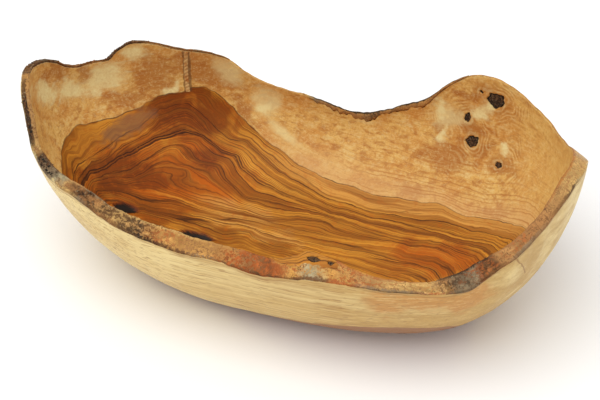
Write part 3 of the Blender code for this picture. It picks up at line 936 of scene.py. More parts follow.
class HollowGrain:
    """Noises, rings and masks that the colours of the hollow share."""

    def __init__(self, bench, place):
        self.bench = bench
        self.place = place
        self.across = bench.part(place, 0)
        self.deep = bench.part(place, 1)
        self.blotch = bench.noise(place, 52.0, 5.0, 0.62, 0.8)
        self.smear = bench.noise(bench.stretch(place, (1.0, 1.4, 2.4)), 120.0, 4.0, 0.6, 0.4)
        self.speck = bench.noise(place, 260.0, 3.0, 0.6)
        self.crumb = bench.noise(place, 560.0, 3.0, 0.65, 0.6)
        self.pitch = bench.attribute("pitch")
        self.quiet = bench.attribute("quiet")
        self.burl = bench.attribute("burl")
        self.spread = bench.attribute("spread")
        unrest = bench.plus(bench.sway(bench.noise(place, 42.0, 2.0), 1.3),
                            bench.sway(bench.noise(place, 190.0, 2.0), 0.35))
        self.rings = bench.plus(bench.attribute("growth"), bench.times(unrest, self.pitch))
        swirl = bench.sway(bench.noise(place, 70.0, 1.5), 4.0)
        self.swirled = bench.plus(self.rings, bench.times(swirl, self.quiet, self.pitch))
        self.young = bench.times(bench.fade(self.swirled, 1.15, 0.55), bench.fade(self.across, -0.06, 0.0))
        still = bench.most(bench.most(self.quiet, self.burl), bench.times(self.young, 0.7))
        self.hush = bench.span(still, 0.2, 0.8, 1.0, 0.28)
        fibre = bench.group(fibre_group(), Grain_Space=self.drawn_out(5.0), Pore_Share=0.10)
        self.streak = fibre["Streak"]
        self.fine = fibre["Fine"]
        self.pores = fibre["Pores"]
        self.drift = bench.sway(bench.noise(self.drawn_out(0.9), 1.0, 1.0), 0.8)
        self.band = bench.noise(self.drawn_out(1.9), 1.0, 2.0, 0.55)

    def drawn_out(self, scale):
        """A space drawn out along the rings."""
        bench = self.bench
        return bench.join(bench.times(self.swirled, scale), bench.times(self.across, 9.0),
                          bench.times(self.deep, 9.0))

    def patch(self, name, grain, low, high):
        """One of the soft patches that the wood's points carry."""
        return self.bench.ragged(self.bench.attribute(name), grain, low, high)

    def ring_line(self, rings, value, half_width):
        """A line of even width, in millimetres, where the ring value passes one number."""
        gap = self.bench.math("DIVIDE", self.bench.gap(rings, value), self.pitch)
        return self.bench.fade(gap, 1.2 * half_width, 0.3 * half_width)

    def bands(self, count, half_width):
        """Dark lines along the rings and the shade beside them, every line with its own strength."""
        bench = self.bench
        turn = bench.plus(bench.times(self.swirled, count), self.drift)
        share = bench.math("FRACT", turn)
        number = bench.times(bench.math("FLOOR", turn), 3.7)
        strength = bench.fade(bench.noise(self.place, 16.0, 1.0, number=number), 0.36, 0.64)
        gap = bench.math("DIVIDE", bench.gap(share, 0.5), bench.times(self.pitch, count))
        line = bench.fade(gap, 1.2 * half_width, 0.3 * half_width)
        beside = bench.times(bench.math("GREATER_THAN", share, 0.5), bench.fade(share, 1.0, 0.5))
        return bench.times(line, strength), bench.times(beside, strength)

    def knot_swirls(self):
        """Fine wavering lines round the knots, dark and pale, by the distance to the nearest."""
        bench = self.bench
        wander = bench.sway(bench.noise(self.place, 60.0, 1.5), 4.0)
        turn = bench.math("DIVIDE", bench.plus(self.spread, wander), 2.6)
        gap = bench.gap(bench.math("FRACT", turn), 0.5)
        broken = bench.times(bench.fade(bench.noise(self.place, 90.0, 4.0, 0.6), 0.40, 0.64),
                             bench.fade(self.spread, 34.0, 6.0))
        dark = bench.times(bench.fade(gap, 0.34, 0.04), broken)
        return dark, bench.times(bench.fade(gap, 0.22, 0.46), broken)


def heartwood(grain, colours):
    """Red and gold wood of the middle, with its fine growth lines."""
    bench = grain.bench
    blotch = grain.blotch
    hush = grain.hush
    ember = grain.patch("ember", blotch, 0.15, 0.70)
    pale = bench.most(grain.young, grain.patch("glow", blotch, 0.15, 0.75))
    bunch = bench.span(grain.band, 0.42, 0.58, 1.0, 0.30)
    slack = bench.times(bench.fade(grain.pitch, 0.10, 0.05), hush)
    old = bench.span(grain.young, 0.0, 1.0, 1.0, 0.45)
    main_line, main_shade = grain.bands(2.3, 0.42)
    fine_line, fine_shade = grain.bands(6.5, 0.26)
    slack_line, slack_shade = grain.bands(13.0, 0.30)
    ember_line, _ = grain.bands(11.0, 0.24)
    rightward = bench.fade(grain.across, -0.06, 0.02)
    streaked = bench.span(grain.streak, 0.35, 0.65, 0.4, 1.0)
    brown_bands = [
        (colours.heart_stain, grain.ring_line(grain.swirled, value, half_width), rightward, streaked, depth)
        for value, half_width, depth in BROWN_BANDS
    ]
    return bench.layers(
        bench.blend(ember, colours.heart_gold, colours.heart_red),
        (colours.heart_glow, bench.fade(grain.fine, 0.48, 0.70), 0.38),
        (colours.heart_glow, bench.fade(grain.band, 0.56, 0.70), 0.40),
        (colours.heart_pale, pale, 0.45),
        # Painted shade just behind the front rim
        (colours.heart_brown, grain.patch("dusk", blotch, 0.15, 0.75), 0.65),
        (colours.heart_brown, bench.fade(grain.band, 0.52, 0.34), 0.75),
        (colours.heart_brown, bench.fade(grain.streak, 0.56, 0.38), 0.55),
        (colours.heart_stain, grain.patch("red", blotch, 0.20, 0.65), 0.80),
        (colours.heart_red, bench.fade(grain.speck, 0.52, 0.70), 0.35),
        (colours.heart_brown, fine_shade, bunch, 0.50),
        (colours.heart_brown, main_shade, old, 0.70),
        (colours.heart_brown, slack_shade, slack, 0.55),
        (colours.heart_line, slack_line, slack, 0.75),
        (colours.heart_line, fine_line, hush, bunch, 0.60),
        (colours.heart_line, ember_line, ember, hush, 0.70),
        (colours.growth_line, main_line, hush, 0.85),
        *brown_bands,
        (colours.sap_tan, grain.young, 0.12),
        (colours.sap_brown, grain.burl, 0.45),
        (colours.heart_brown, grain.quiet, 0.40),
    )


def sapwood(grain, colours):
    """Pale, mottled wood of the wall, with swirls round its dead knots."""
    bench = grain.bench
    smear = grain.smear
    speck = grain.speck
    spread = grain.spread
    blush = bench.times(bench.fade(grain.swirled, -1.8, -0.3), bench.fade(grain.across, -0.07, 0.0))
    rightward = bench.times(bench.fade(grain.across, -0.03, 0.06), bench.fade(grain.swirled, -3.6, -0.8))
    line, shade = grain.bands(5.0, 0.36)
    dark_swirl, pale_swirl = grain.knot_swirls()
    crumbled = bench.span(grain.crumb, 0.35, 0.65, 1.0, 0.68)
    pale_ring = bench.times(bench.fade(spread, 0.1, 0.5), bench.fade(spread, 2.2, 1.0))
    return bench.layers(
        bench.blend(bench.fade(grain.blotch, 0.34, 0.66), colours.sap_tan, colours.sap_gold),
        (colours.sap_brown, bench.fade(smear, 0.50, 0.68), 0.68),
        (colours.sap_cream, bench.fade(smear, 0.48, 0.30), 0.34),
        (colours.sap_brown, grain.patch("brown", smear, 0.22, 0.78), 0.78),
        (colours.sap_brown, bench.fade(grain.crumb, 0.50, 0.66), 0.38),
        (colours.sap_cream, bench.fade(grain.crumb, 0.48, 0.34), 0.30),
        (colours.sap_brown, bench.fade(grain.fine, 0.50, 0.68), 0.30),
        (colours.sap_cream, bench.fade(grain.fine, 0.48, 0.30), 0.18),
        (colours.sap_gold, bench.fade(grain.across, 0.10, 0.15), 0.40),
        (colours.sap_tan, bench.fade(speck, 0.56, 0.72), 0.30),
        (colours.sap_blush, blush, 0.5),
        (colours.sap_brown, line, rightward, 0.70),
        (colours.sap_brown, shade, rightward, 0.30),
        (colours.knot_halo, bench.fade(spread, 9.0, 1.0), bench.fade(speck, 0.30, 0.62), 0.60),
        (colours.sap_brown, dark_swirl, 0.50),
        (colours.sap_cream, pale_swirl, 0.24),
        (colours.sap_cream, grain.patch("pale", smear, 0.15, 0.80), 0.60),
        (colours.sap_cream, grain.patch("cream", smear, 0.20, 0.74), crumbled),
        (colours.sap_cream, pale_ring, bench.fade(speck, 0.40, 0.62), 0.35),
    )


def hollow_colour(bench, place, colours):
    """Colour of the hollow, with its growth lines and stains, and its finest grain."""
    grain = HollowGrain(bench, place)
    speck = grain.speck
    inner = bench.fade(bench.math("DIVIDE", grain.rings, grain.pitch), -0.3, 0.5)
    fading = bench.span(bench.fade(bench.noise(place, 75.0, 2.0), 0.34, 0.60), 0.0, 1.0, 0.55, 1.0)
    lines = [
        (colours.growth_line, grain.ring_line(grain.rings, value, half_width), depth, fading)
        for value, half_width, depth in RING_LINES
    ]
    shake = bench.times(bench.fade(speck, 0.24, 0.46), bench.span(grain.across, -0.09, 0.0, 0.95, 0.5))
    for side in (-0.85, 0.85):
        beside = bench.plus(grain.rings, bench.times(grain.pitch, side))
        lines.append((colours.growth_line, grain.ring_line(beside, SHAKE_RING, 0.60), shake))
    frayed = bench.plus(bench.sway(speck, 0.06), bench.sway(grain.fine, 0.10))
    pocket = bench.plus(bench.attribute("black"), frayed)
    crack = bench.gap(bench.plus(bench.attribute("crack_side"), bench.sway(speck, 0.5)))
    colour = bench.layers(
        bench.blend(inner, sapwood(grain, colours), heartwood(grain, colours)),
        *lines,
        (colours.growth_line, grain.pores, inner, 0.45),
        (colours.sap_grey, grain.patch("grey", grain.smear, 0.2, 0.8), 0.65),
        (colours.heart_stain, bench.fade(pocket, 0.26, 0.52), 0.8),
        (colours.knot_black, bench.fade(pocket, 0.44, 0.66)),
        (colours.knot_brown, bench.fade(crack, 3.0, 2.2), bench.attribute("crack_span"), 0.65),
    )
    return colour, grain.fine


def outside_colour(bench, place, colours):
    """Colour of the outside, with fibres along the length of the bowl, and its finest grain."""
    across = bench.part(place, 0)
    lengthwise = bench.stretch(place, (14.0, 300.0, 300.0))
    fibre = bench.group(fibre_group(), Grain_Space=lengthwise, Pore_Share=0.15)
    band = bench.noise(bench.stretch(place, (3.0, 40.0, 70.0)), 1.0, 4.0, 0.6)
    blotch = bench.noise(bench.stretch(place, (1.0, 1.5, 2.5)), 34.0, 4.0, 0.6, 0.4)
    thread = bench.noise(bench.stretch(place, (6.0, 420.0, 620.0)), 1.0, 3.0, 0.65)
    sideways = bench.span(across, 0.06, 0.15, 1.0, 0.3)
    shifted = bench.plus(across, bench.sway(blotch, 0.04))
    rightward = bench.times(bench.fade(shifted, -0.10, 0.10), bench.fade(shifted, 0.20, 0.13))
    tan = bench.ragged(bench.attribute("tan"), blotch, 0.15, 0.60)
    # Painted shade along the foot of the outside wall, where it turns under
    foot = bench.ragged(bench.attribute("foot"), blotch, 0.30, 0.70)
    split = bench.gap(bench.plus(bench.attribute("split_side"), bench.sway(blotch, 1.5)))
    below = bench.plus(bench.attribute("below"), bench.sway(band, 1.2))
    under_edge = bench.gap(below, 3.0)
    colour = bench.layers(
        bench.blend(rightward, colours.outside_cream, colours.outside_tan),
        (colours.outside_honey, bench.fade(band, 0.46, 0.64), 0.5),
        (colours.outside_cream, bench.fade(band, 0.46, 0.34), 0.4),
        (colours.outside_amber, tan, 0.85),
        (colours.outside_honey, bench.fade(fibre["Streak"], 0.50, 0.70), 0.50, sideways),
        (colours.outside_dash, bench.fade(fibre["Fine"], 0.52, 0.70), 0.26, sideways),
        (colours.outside_dash, bench.fade(thread, 0.50, 0.66), 0.34, sideways),
        (colours.outside_cream, bench.fade(thread, 0.50, 0.34), 0.45, sideways),
        # Painted shade along the foot of the outside wall
        (colours.foot_shade_brown, foot, 0.90),
        (colours.outside_dash, fibre["Pores"], 0.70, sideways),
        (colours.outside_dash, bench.fade(split, 0.75, 0.25), 0.9, bench.attribute("split_span")),
        (colours.outside_tan, bench.fade(below, 3.6, 2.4), 0.45),
        (colours.outside_dash, bench.fade(under_edge, 0.7, 0.2), bench.fade(blotch, 0.38, 0.58), 0.60),
        (bench.attribute("edge_outer", "Color"), bench.fade(below, 1.4, 0.4), 0.75),
    )
    return colour, fibre["Fine"]


def new_material(name):
    """A material with its shader left in place, and a bench for the rest."""
    material = bpy.data.materials.new(name)
    material.use_nodes = True
    return material, NodeBench(material.node_tree)


def finish_material(material, bench, colour, roughness, gloss, relief=None):
    """Feed a material's shader; its relief is a height, the strength and the depth in metres."""
    shader = material.node_tree.nodes["Principled BSDF"]
    bench.wire(shader, Base_Color=colour, Roughness=roughness, Specular_IOR_Level=gloss)
    if relief:
        height, strength, depth = relief
        bump = bench.wire(bench.place("ShaderNodeBump"), Height=height, Strength=strength, Distance=depth)
        bench.wire(shader, Normal=bump["Normal"])
    return material


def olive_wood(colours):
    material, bench = new_material("olive wood")
    place = bench.object_place()
    inside, inside_fine = hollow_colour(bench, place, colours)
    outside, outside_fine = outside_colour(bench, place, colours)
    rim = live_edge(bench, place, 0.6, colours)
    hollow = bench.attribute("hollow")
    edge = bench.sway(bench.noise(place, 420.0, 3.0, 0.6), 0.2)
    on_rim = bench.fade(bench.plus(bench.attribute("rim"), edge), 0.35, 0.65)
    colour = bench.layers(outside, (inside, hollow), (rim["Color"], on_rim))
    fine = bench.blend(hollow, outside_fine, inside_fine)
    roughness = bench.span(fine, 0.3, 0.7, 0.50, 0.38)
    return finish_material(material, bench, colour, roughness, 0.10, (fine, 0.18, 0.6 * MM))


def bark_material(slot, colours):
    name = slot.replace("_", " ")
    found = bpy.data.materials.get(name)
    if found:
        return found
    matt, strength, flecks = BARK_SLOTS[slot]
    material, bench = new_material(name)
    place = bench.object_place()
    edge = live_edge(bench, place, matt, colours)
    fleck = bench.fade(bench.noise(place, 750.0, 2.0, 0.6), 0.58, 0.70)
    colour = bench.layers(edge["Color"], (colours.lichen, fleck, flecks))
    relief = (edge["Height"], strength, 0.6 * MM)
    return finish_material(material, bench, colour, edge["Roughness"], 0.1, relief)


def knot_material(colours):
    material, bench = new_material("dead knot")
    place = bench.object_place()
    grit = bench.noise(place, 900.0, 5.0, 0.65)
    lump = bench.noise(place, 620.0, 3.0, 0.6, 1.5)
    core = bench.plus(bench.attribute("core"), bench.sway(lump, 0.60))
    colour = bench.layers(
        bench.blend(bench.fade(core, 0.10, 0.62), colours.knot_brown, colours.knot_black),
        (colours.bark_stone, bench.fade(grit, 0.54, 0.68), 0.6),
    )
    roughness = bench.span(grit, 0.3, 0.7, 0.75, 0.95)
    return finish_material(material, bench, colour, roughness, 0.1, (grit, 0.8, 0.5 * MM))


def filler_material(colours):
    material, bench = new_material("crack filler")
    place = bench.object_place()
    grit = bench.noise(place, 800.0, 4.0, 0.6)
    lump = bench.noise(place, 220.0, 3.0, 0.6)
    rib = bench.plus(bench.attribute("rib"), bench.sway(grit, 0.2))
    colour = bench.layers(
        bench.blend(bench.fade(lump, 0.4, 0.65), colours.filler_pale, colours.sap_brown),
        # Painted shade where the filler lies low, at its margins and between its ribs
        (colours.knot_brown, bench.fade(rib, 0.70, 0.10), 0.6),
    )
    roughness = bench.span(grit, 0.3, 0.7, 0.55, 0.75)
    return finish_material(material, bench, colour, roughness, 0.15, (grit, 0.5, 0.4 * MM))


def floor_material(colours):
    material, bench = new_material("stage floor")
    grain = bench.noise(bench.object_place(), 3.0, 2.0)
    white = tuple(colours.floor_white)
    colour = bench.blend(grain, white, tuple(0.99 * part for part in white))
    return finish_material(material, bench, colour, 0.9, 0.0)


def metres(name, description, default):
    return bpy.props.FloatProperty(name=name, description=description, default=default, min=0.0,
                                   unit="LENGTH", precision=4)


def tint(name, description, default):
    return bpy.props.FloatVectorProperty(name=name, description=description, default=default, size=3,
                                         subtype="COLOR", min=0.0, max=1.0)


def degrees(name, description, default):
    return bpy.props.FloatProperty(name=name, description=description, default=math.radians(default),
                                   subtype="ANGLE")


class BowlSizes(bpy.types.PropertyGroup):
    """Sizes of the bowl, as its solid part has them."""

    length: metres("Length", "Length of the rim's plain outline", 0.342)
    width: metres("Width", "Width of the rim's plain outline", 0.195)
    base_length: metres("Base length", "Length of the resting face", 0.216)
    base_width: metres("Base width", "Width of the resting face", 0.092)
    base_shift: metres("Base shift", "How far the resting face sits along the length", 0.004)
    floor_thickness: metres("Floor", "Thickness of wood under the hollow", 0.012)
    wall_thickness: metres("Wall", "Thickness of the wall away from the rim", 0.010)
    bark_gap: metres("Bark gap", "Gap between the bark and the wood under it", 0.0002)
    filler_width: metres("Filler width", "Width of the filled crack", 0.0034)
    flake_size: metres("Flake", "Middle size of a loose flake of bark", 0.0011)
    flakes: bpy.props.FloatProperty(
        name="Flakes", description="Loose flakes on a square centimetre of rough bark", default=22.0, min=0.0)
    seed: bpy.props.IntProperty(name="Seed", description="Lay of the loose flakes", default=7, min=0)


class BowlColours(bpy.types.PropertyGroup):
    """Colours of the wood, the bark and the stage."""

    heart_gold: tint("Heart gold", "Heartwood towards the right", (0.66, 0.275, 0.028))
    heart_red: tint("Heart red", "Heartwood towards the left", (0.50, 0.112, 0.007))
    heart_brown: tint("Heart brown", "Dark streaks of heartwood", (0.25, 0.072, 0.008))
    heart_glow: tint("Heart glow", "Pale streaks of heartwood", (0.68, 0.33, 0.045))
    heart_pale: tint("Heart pale", "Outermost heartwood towards the right", (0.66, 0.36, 0.105))
    heart_stain: tint("Heart stain", "Red-brown stain of the oldest rings", (0.17, 0.033, 0.005))
    growth_line: tint("Growth line", "Dark lines between rings", (0.050, 0.016, 0.006))
    heart_line: tint("Heart line", "Fine brown lines of heartwood", (0.12, 0.034, 0.007))
    sap_gold: tint("Sap gold", "Sapwood of the walls", (0.72, 0.44, 0.125))
    sap_tan: tint("Sap tan", "Darker sapwood of the walls", (0.60, 0.28, 0.062))
    sap_brown: tint("Sap brown", "Brown stains in the sapwood", (0.40, 0.145, 0.030))
    sap_cream: tint("Sap cream", "Cream patches in the sapwood", (0.78, 0.65, 0.31))
    sap_blush: tint("Sap blush", "Pinkish sapwood beside the heartwood", (0.64, 0.36, 0.145))
    sap_grey: tint("Sap grey", "Grey stain in the sapwood", (0.22, 0.105, 0.052))
    outside_cream: tint("Outside cream", "Outside towards the left", (0.80, 0.62, 0.29))
    outside_tan: tint("Outside tan", "Outside towards the right", (0.53, 0.33, 0.115))
    outside_honey: tint("Outside honey", "Bands on the outside", (0.62, 0.41, 0.15))
    outside_amber: tint("Outside amber", "Amber stains on the outside", (0.56, 0.27, 0.080))
    outside_dash: tint("Outside dash", "Pores on the outside", (0.36, 0.19, 0.07))
    # Painted shade on the foot of the outside wall, where it turns under
    foot_shade_brown: tint("Foot brown", "Foot of the outside wall", (0.33, 0.155, 0.082))
    bark_black: tint("Bark black", "Fissures of old bark", (0.022, 0.017, 0.013))
    bark_grey: tint("Bark grey", "Weathered bark", (0.085, 0.060, 0.035))
    bark_stone: tint("Bark stone", "Pale weathered bark", (0.26, 0.185, 0.105))
    bark_brown: tint("Bark brown", "Body of brown bark", (0.14, 0.062, 0.025))
    bark_red: tint("Bark red", "Red-brown bark", (0.40, 0.108, 0.027))
    bark_pink: tint("Bark pink", "Pinkish bark", (0.37, 0.175, 0.060))
    lichen: tint("Lichen", "Grey lichen on the bark", (0.42, 0.34, 0.19))
    cambium_orange: tint("Cambium orange", "Orange inner bark", (0.50, 0.25, 0.070))
    cambium_yellow: tint("Cambium yellow", "Yellow inner bark", (0.53, 0.26, 0.060))
    cambium_blush: tint("Cambium blush", "Pinkish inner bark", (0.47, 0.245, 0.085))
    cambium_cream: tint("Cambium cream", "Pale inner bark", (0.58, 0.35, 0.12))
    knot_black: tint("Knot black", "Dead knots", (0.020, 0.013, 0.009))
    knot_brown: tint("Knot brown", "Crumbled wood of dead knots", (0.110, 0.055, 0.025))
    knot_halo: tint("Knot halo", "Stain round a dead knot", (0.40, 0.16, 0.035))
    filler_pale: tint("Filler", "Pale filler of the crack", (0.56, 0.34, 0.13))
    floor_white: tint("Floor", "Floor of the stage", (0.95, 0.95, 0.95))


class BowlStage(bpy.types.PropertyGroup):
    """Camera and light of the stage."""

    azimuth: degrees("Azimuth", "Camera's turn round the bowl", 18.0)
    elevation: degrees("Elevation", "Camera's angle above the floor", 39.0)
    distance: metres("Distance", "Distance from the camera to its aim", 1.1)
    aim: bpy.props.FloatVectorProperty(name="Aim", description="Point that the camera looks at",
                                       default=(0.0009, -0.0020, 0.0505), size=3, subtype="TRANSLATION")
    lens: bpy.props.FloatProperty(name="Lens", description="Focal length in millimetres", default=107.9)
    sky: bpy.props.FloatProperty(name="Sky", description="Strength of the even light", default=0.80)
    key: bpy.props.FloatProperty(name="Key", description="Power of the soft lamp in watts", default=32.0)


class SetBowlStage(bpy.types.Operator):
    """Place the floor, the lights and the photograph's camera"""

    bl_idname = "bowl.stage"
    bl_label = "Stage"

    def execute(self, context):
        scene = context.scene
        stage = scene.bowl_stage
        corners = [(FLOOR_HALF * x, FLOOR_HALF * y, 0.0) for x, y in ((-1, -1), (1, -1), (1, 1), (-1, 1))]
        floor = new_piece("stage_floor", corners, [(0, 1, 2, 3)], floor_material(scene.bowl_colours))
        scene.world = bpy.data.worlds.new("studio")
        scene.world.use_nodes = True
        even_light = scene.world.node_tree.nodes["Background"]
        even_light.inputs["Color"].default_value = (1.0, 1.0, 1.0, 1.0)
        even_light.inputs["Strength"].default_value = stage.sky
        lamp = bpy.data.lights.new("key_lamp", "AREA")
        lamp.shape = "DISK"
        lamp.size = LAMP_WIDTH
        lamp.energy = stage.key
        lamp_object = add_object("key_lamp", lamp)
        lamp_object.location = LAMP_PLACE
        toward_lamp = Vector(LAMP_PLACE) - Vector(LAMP_AIM)
        lamp_object.rotation_euler = toward_lamp.to_track_quat("Z", "Y").to_euler()
        view = PhotoView(stage)
        camera = bpy.data.cameras.new("photo_camera")
        camera.lens = stage.lens
        camera.sensor_width = SENSOR_MM
        camera.clip_end = 50.0
        scene.camera = add_object("photo_camera", camera)
        scene.camera.location = view.place
        scene.camera.rotation_mode = "QUATERNION"
        scene.camera.rotation_quaternion = Vector(-view.back).to_track_quat("-Z", "Y")
        scene.view_settings.view_transform = "Standard"
        return {"FINISHED"}


def bark_relief(along, across):
    """Height share of weathered bark: 0 in a fissure and 1 on a ridge."""
    spot = Vector((along / LUMP, across / (0.7 * LUMP), 3.0))
    gaps = noise.voronoi(spot)[0]
    plates = min(1.0, 1.6 * (gaps[1] - gaps[0]))
    swell = noise.noise(spot * 0.6)
    grit = noise.fractal(spot * 1.9, 0.8, 2.1, 5)
    return min(1.0, max(0.0, 0.36 + 0.28 * plates + 0.30 * swell + 0.30 * grit))


def edge_relief(bearings, offsets):
    """Height share at bearings, at offsets in millimetres from the inner edge of the rim."""
    arcs = np.radians(bearings) * BARK_SPREAD
    return np.array([bark_relief(arc, offset) for arc, offset in zip(arcs, offsets)])


def tone_share(bearings, across):
    """Share across the rim as its tones have it."""
    margin = between(INNER_MARGIN, bearings)
    share = np.clip((across - margin) / (1.0 - margin), 0.0, 1.0)
    return share * between(OUTER_REACH, bearings, 360.0)


def relief_depth(bearings):
    """Depth of the relief in millimetres, from one patch of bark to the next."""
    stations = [(0.5 * (patch.first + patch.last), patch.relief) for patch in BARK_PATCHES]
    return between(stations, bearings, 360.0)


def calm(bearings, rough):
    """Height share for the tones, evened out where the relief is shallow."""
    return EVEN_CRUST + (rough - EVEN_CRUST) * np.clip(relief_depth(bearings) / 1.6, 0.25, 1.0)


def body_rings(shape):
    """Rings of the whole wood from the middle of its base to the middle of its floor."""
    bearings = np.arange(BEARING_COUNT) * 360.0 / BEARING_COUNT
    cut = shape.bark_depth(bearings)
    cut = np.where(cut > 0.0, cut + shape.sizes.bark_gap, 0.0)
    outer_top = shape.rim(bearings, 1.0)[:, 2] - cut - EDGE_ROUNDING
    bare = between(BARE_MARGIN, bearings)
    inner_top = shape.rim(bearings, 0.0)[:, 2] - cut * smooth_step(1.0 - 10.0 * bare) - EDGE_ROUNDING
    depth = relief_depth(bearings)
    width = around(RIM_WIDTH, bearings)
    rings = []
    foot = shape.outside(bearings, np.zeros(BEARING_COUNT))
    middle = np.array((shape.sizes.base_shift, 0.0, 0.0))
    for share in BASE_SHARES:
        rings.append(("under", 0.0, middle + (foot - middle) * share))
    for row in range(OUTSIDE_ROWS):
        slope = 90.0 * row / OUTSIDE_ROWS
        points = shape.outside(bearings, np.full(BEARING_COUNT, slope))
        points[:, 2] = np.minimum(points[:, 2], outer_top - (90.0 - slope) * WALL_FALL)
        rings.append(("outside", slope, points))
    for across in RIM_SHARES:
        edge = EDGE_ROUNDING * (2.0 * across - 1.0) ** 8
        bumps = (edge_relief(bearings, across * width) - 0.5) * depth * MM
        bumps = np.where(cut > 0.0, 0.0, bumps) * (1.0 - (2.0 * across - 1.0) ** 6)
        sunk = cut * smooth_step(1.0 + 10.0 * (across - bare)) + edge - bumps
        rings.append(("rim", across, shape.rim(bearings, across, sunk)))
    for row in range(1, HOLLOW_ROWS):
        slope = 90.0 * (1.0 - row / HOLLOW_ROWS)
        points = shape.inside(bearings, np.full(BEARING_COUNT, slope))
        points[:, 2] = np.minimum(points[:, 2], inner_top - (90.0 - slope) * WALL_FALL)
        rings.append(("hollow", slope, points))
    return bearings, rings


def knot_seats(shape):
    """Place, directions and sizes of every dead knot."""
    seats = []
    for piece, node, bearing, slope, half_long, half_short, depth, turn in WALL_KNOTS:
        seats.append(KnotSeat(piece, node, *shape.inside_frame(bearing, slope), half_long * MM,
                              half_short * MM, depth * MM, math.radians(turn)))
    for piece, node, bearing, across, half_long, half_short, depth in RIM_KNOTS:
        place = shape.rim(np.array([bearing]), across)[0]
        level, upward, normal = np.eye(3)
        seats.append(KnotSeat(piece, node, place, normal, level, upward, half_long * MM, half_short * MM,
                              depth * MM, 0.0))
    return seats


def knot_outline(angle, name, turn):
    """Reach of a knot's uneven outline, as a share of its half sizes."""
    if name == "large_rim_knot":
        return (np.abs(np.cos(angle)) ** 1.3 + np.abs(np.sin(angle)) ** 1.3) ** (-1.0 / 1.3)
    uneven = 0.08 * np.sin(5.0 * angle + 3.0 * turn + len(name)) + 0.05 * np.sin(8.0 * angle + len(name))
    return 1.0 + KNOT_WOBBLE * np.sin(3.0 * angle + turn) + uneven


def knot_share(points, seat):
    """Distance from a knot's middle, as a share of its uneven outline."""
    offset = points - seat.place
    sideways = offset @ seat.level
    rising = offset @ seat.upward
    along = (sideways * math.cos(seat.turn) + rising * math.sin(seat.turn)) / seat.half_long
    across = (rising * math.cos(seat.turn) - sideways * math.sin(seat.turn)) / seat.half_short
    share = np.hypot(along, across) / knot_outline(np.arctan2(across, along), seat.piece, seat.turn)
    return np.where(np.abs(offset @ seat.normal) < KNOT_REACH, share, np.inf)


def split_near(piece, seats):
    """Finer faces round every knot, so that a pocket has a clean edge."""
    work = bmesh.new()
    work.from_mesh(piece.data)
    for seat in seats:
        reach = 1.35 * seat.half_long + 1.2 * MM
        place = Vector(seat.place)
        edges = [edge for edge in work.edges if all((v.co - place).length < reach for v in edge.verts)]
        bmesh.ops.subdivide_edges(work, edges=edges, cuts=3, use_grid_fill=True)
    bmesh.ops.triangulate(work, faces=[face for face in work.faces if len(face.verts) > 4])
    work.to_mesh(piece.data)
    work.free()


def press_pockets(piece, seats):
    """Sink the wood under every knot."""
    mesh = piece.data
    points = np.empty(3 * len(mesh.vertices))
    mesh.vertices.foreach_get("co", points)
    points = points.reshape(-1, 3)
    for seat in seats:
        pocket = smooth_step((1.06 - knot_share(points, seat)) / 0.12)
        points -= seat.normal * (0.5 * seat.depth * pocket)[:, None]
    mesh.vertices.foreach_set("co", points.ravel())
    mesh.update()


def knot_spread(points, seats):
    """Smooth distance in millimetres to the nearest knot in the wall."""
    total = np.zeros(len(points))
    for seat in seats:
        reach = 0.5 * (seat.half_long + seat.half_short)
        gap = (np.linalg.norm(points - seat.place, axis=1) - reach) / MM
        total += np.exp(-gap / 3.0)
    return -3.0 * np.log(total + 1e-12)


def line_margin(top, foot, level, points):
    """Signed distance in millimetres from a straight line's middle, and a cover along its length."""
    along = foot - top
    share = (points - top) @ along / (along @ along)
    middle = top + along * np.clip(share, 0.0, 1.0)[:, None]
    side = (points - middle) @ level / MM
    cover = smooth_step((share + 0.12) / 0.04) * smooth_step((1.02 - share) / 0.04)
    cover = cover * (np.linalg.norm(points - middle, axis=1) < CRACK_REACH)
    return np.clip(side, -30.0, 30.0), cover


def crack_margin(shape, points):
    """Place of points beside the filled crack."""
    top, _, level, _ = shape.inside_frame(*FILLER_TOP)
    return line_margin(top, shape.inside_frame(*FILLER_FOOT)[0], level, points)


def split_margin(shape, points):
    """Place of points beside the small crack on the outside."""
    turns, slopes = np.array([SPLIT_TOP, SPLIT_FOOT]).T
    top, foot = shape.outside(turns, slopes)
    level = unit_vector(np.cross(foot - top, top * (1.0, 1.0, 0.0)))
    return line_margin(top, foot, level, points)


def ring_pitch(growth, points, row_count):
    """How fast the ring value changes over the surface, in rings to the millimetre."""
    values = growth.reshape(row_count, BEARING_COUNT)
    places = points.reshape(row_count, BEARING_COUNT, 3)
    along = np.roll(values, -1, 1) - np.roll(values, 1, 1)
    along = along / np.linalg.norm(np.roll(places, -1, 1) - np.roll(places, 1, 1), axis=-1)
    over = np.zeros_like(values)
    steps = np.linalg.norm(places[2:] - places[:-2], axis=-1)
    over[1:-1] = (values[2:] - values[:-2]) / np.maximum(steps, 1e-6)
    return np.clip(np.hypot(along, over) * MM, *PITCH_RANGE).ravel()


def burl_cover(bearings, across):
    """Cover of heartwood on the swelling of the front rim."""
    inward = np.minimum(bearings - BURL_BEARINGS[0], BURL_BEARINGS[1] - bearings)
    return smooth_step(inward / 3.0) * smooth_step((BURL_SHARE - across) / 0.3 + 0.5)


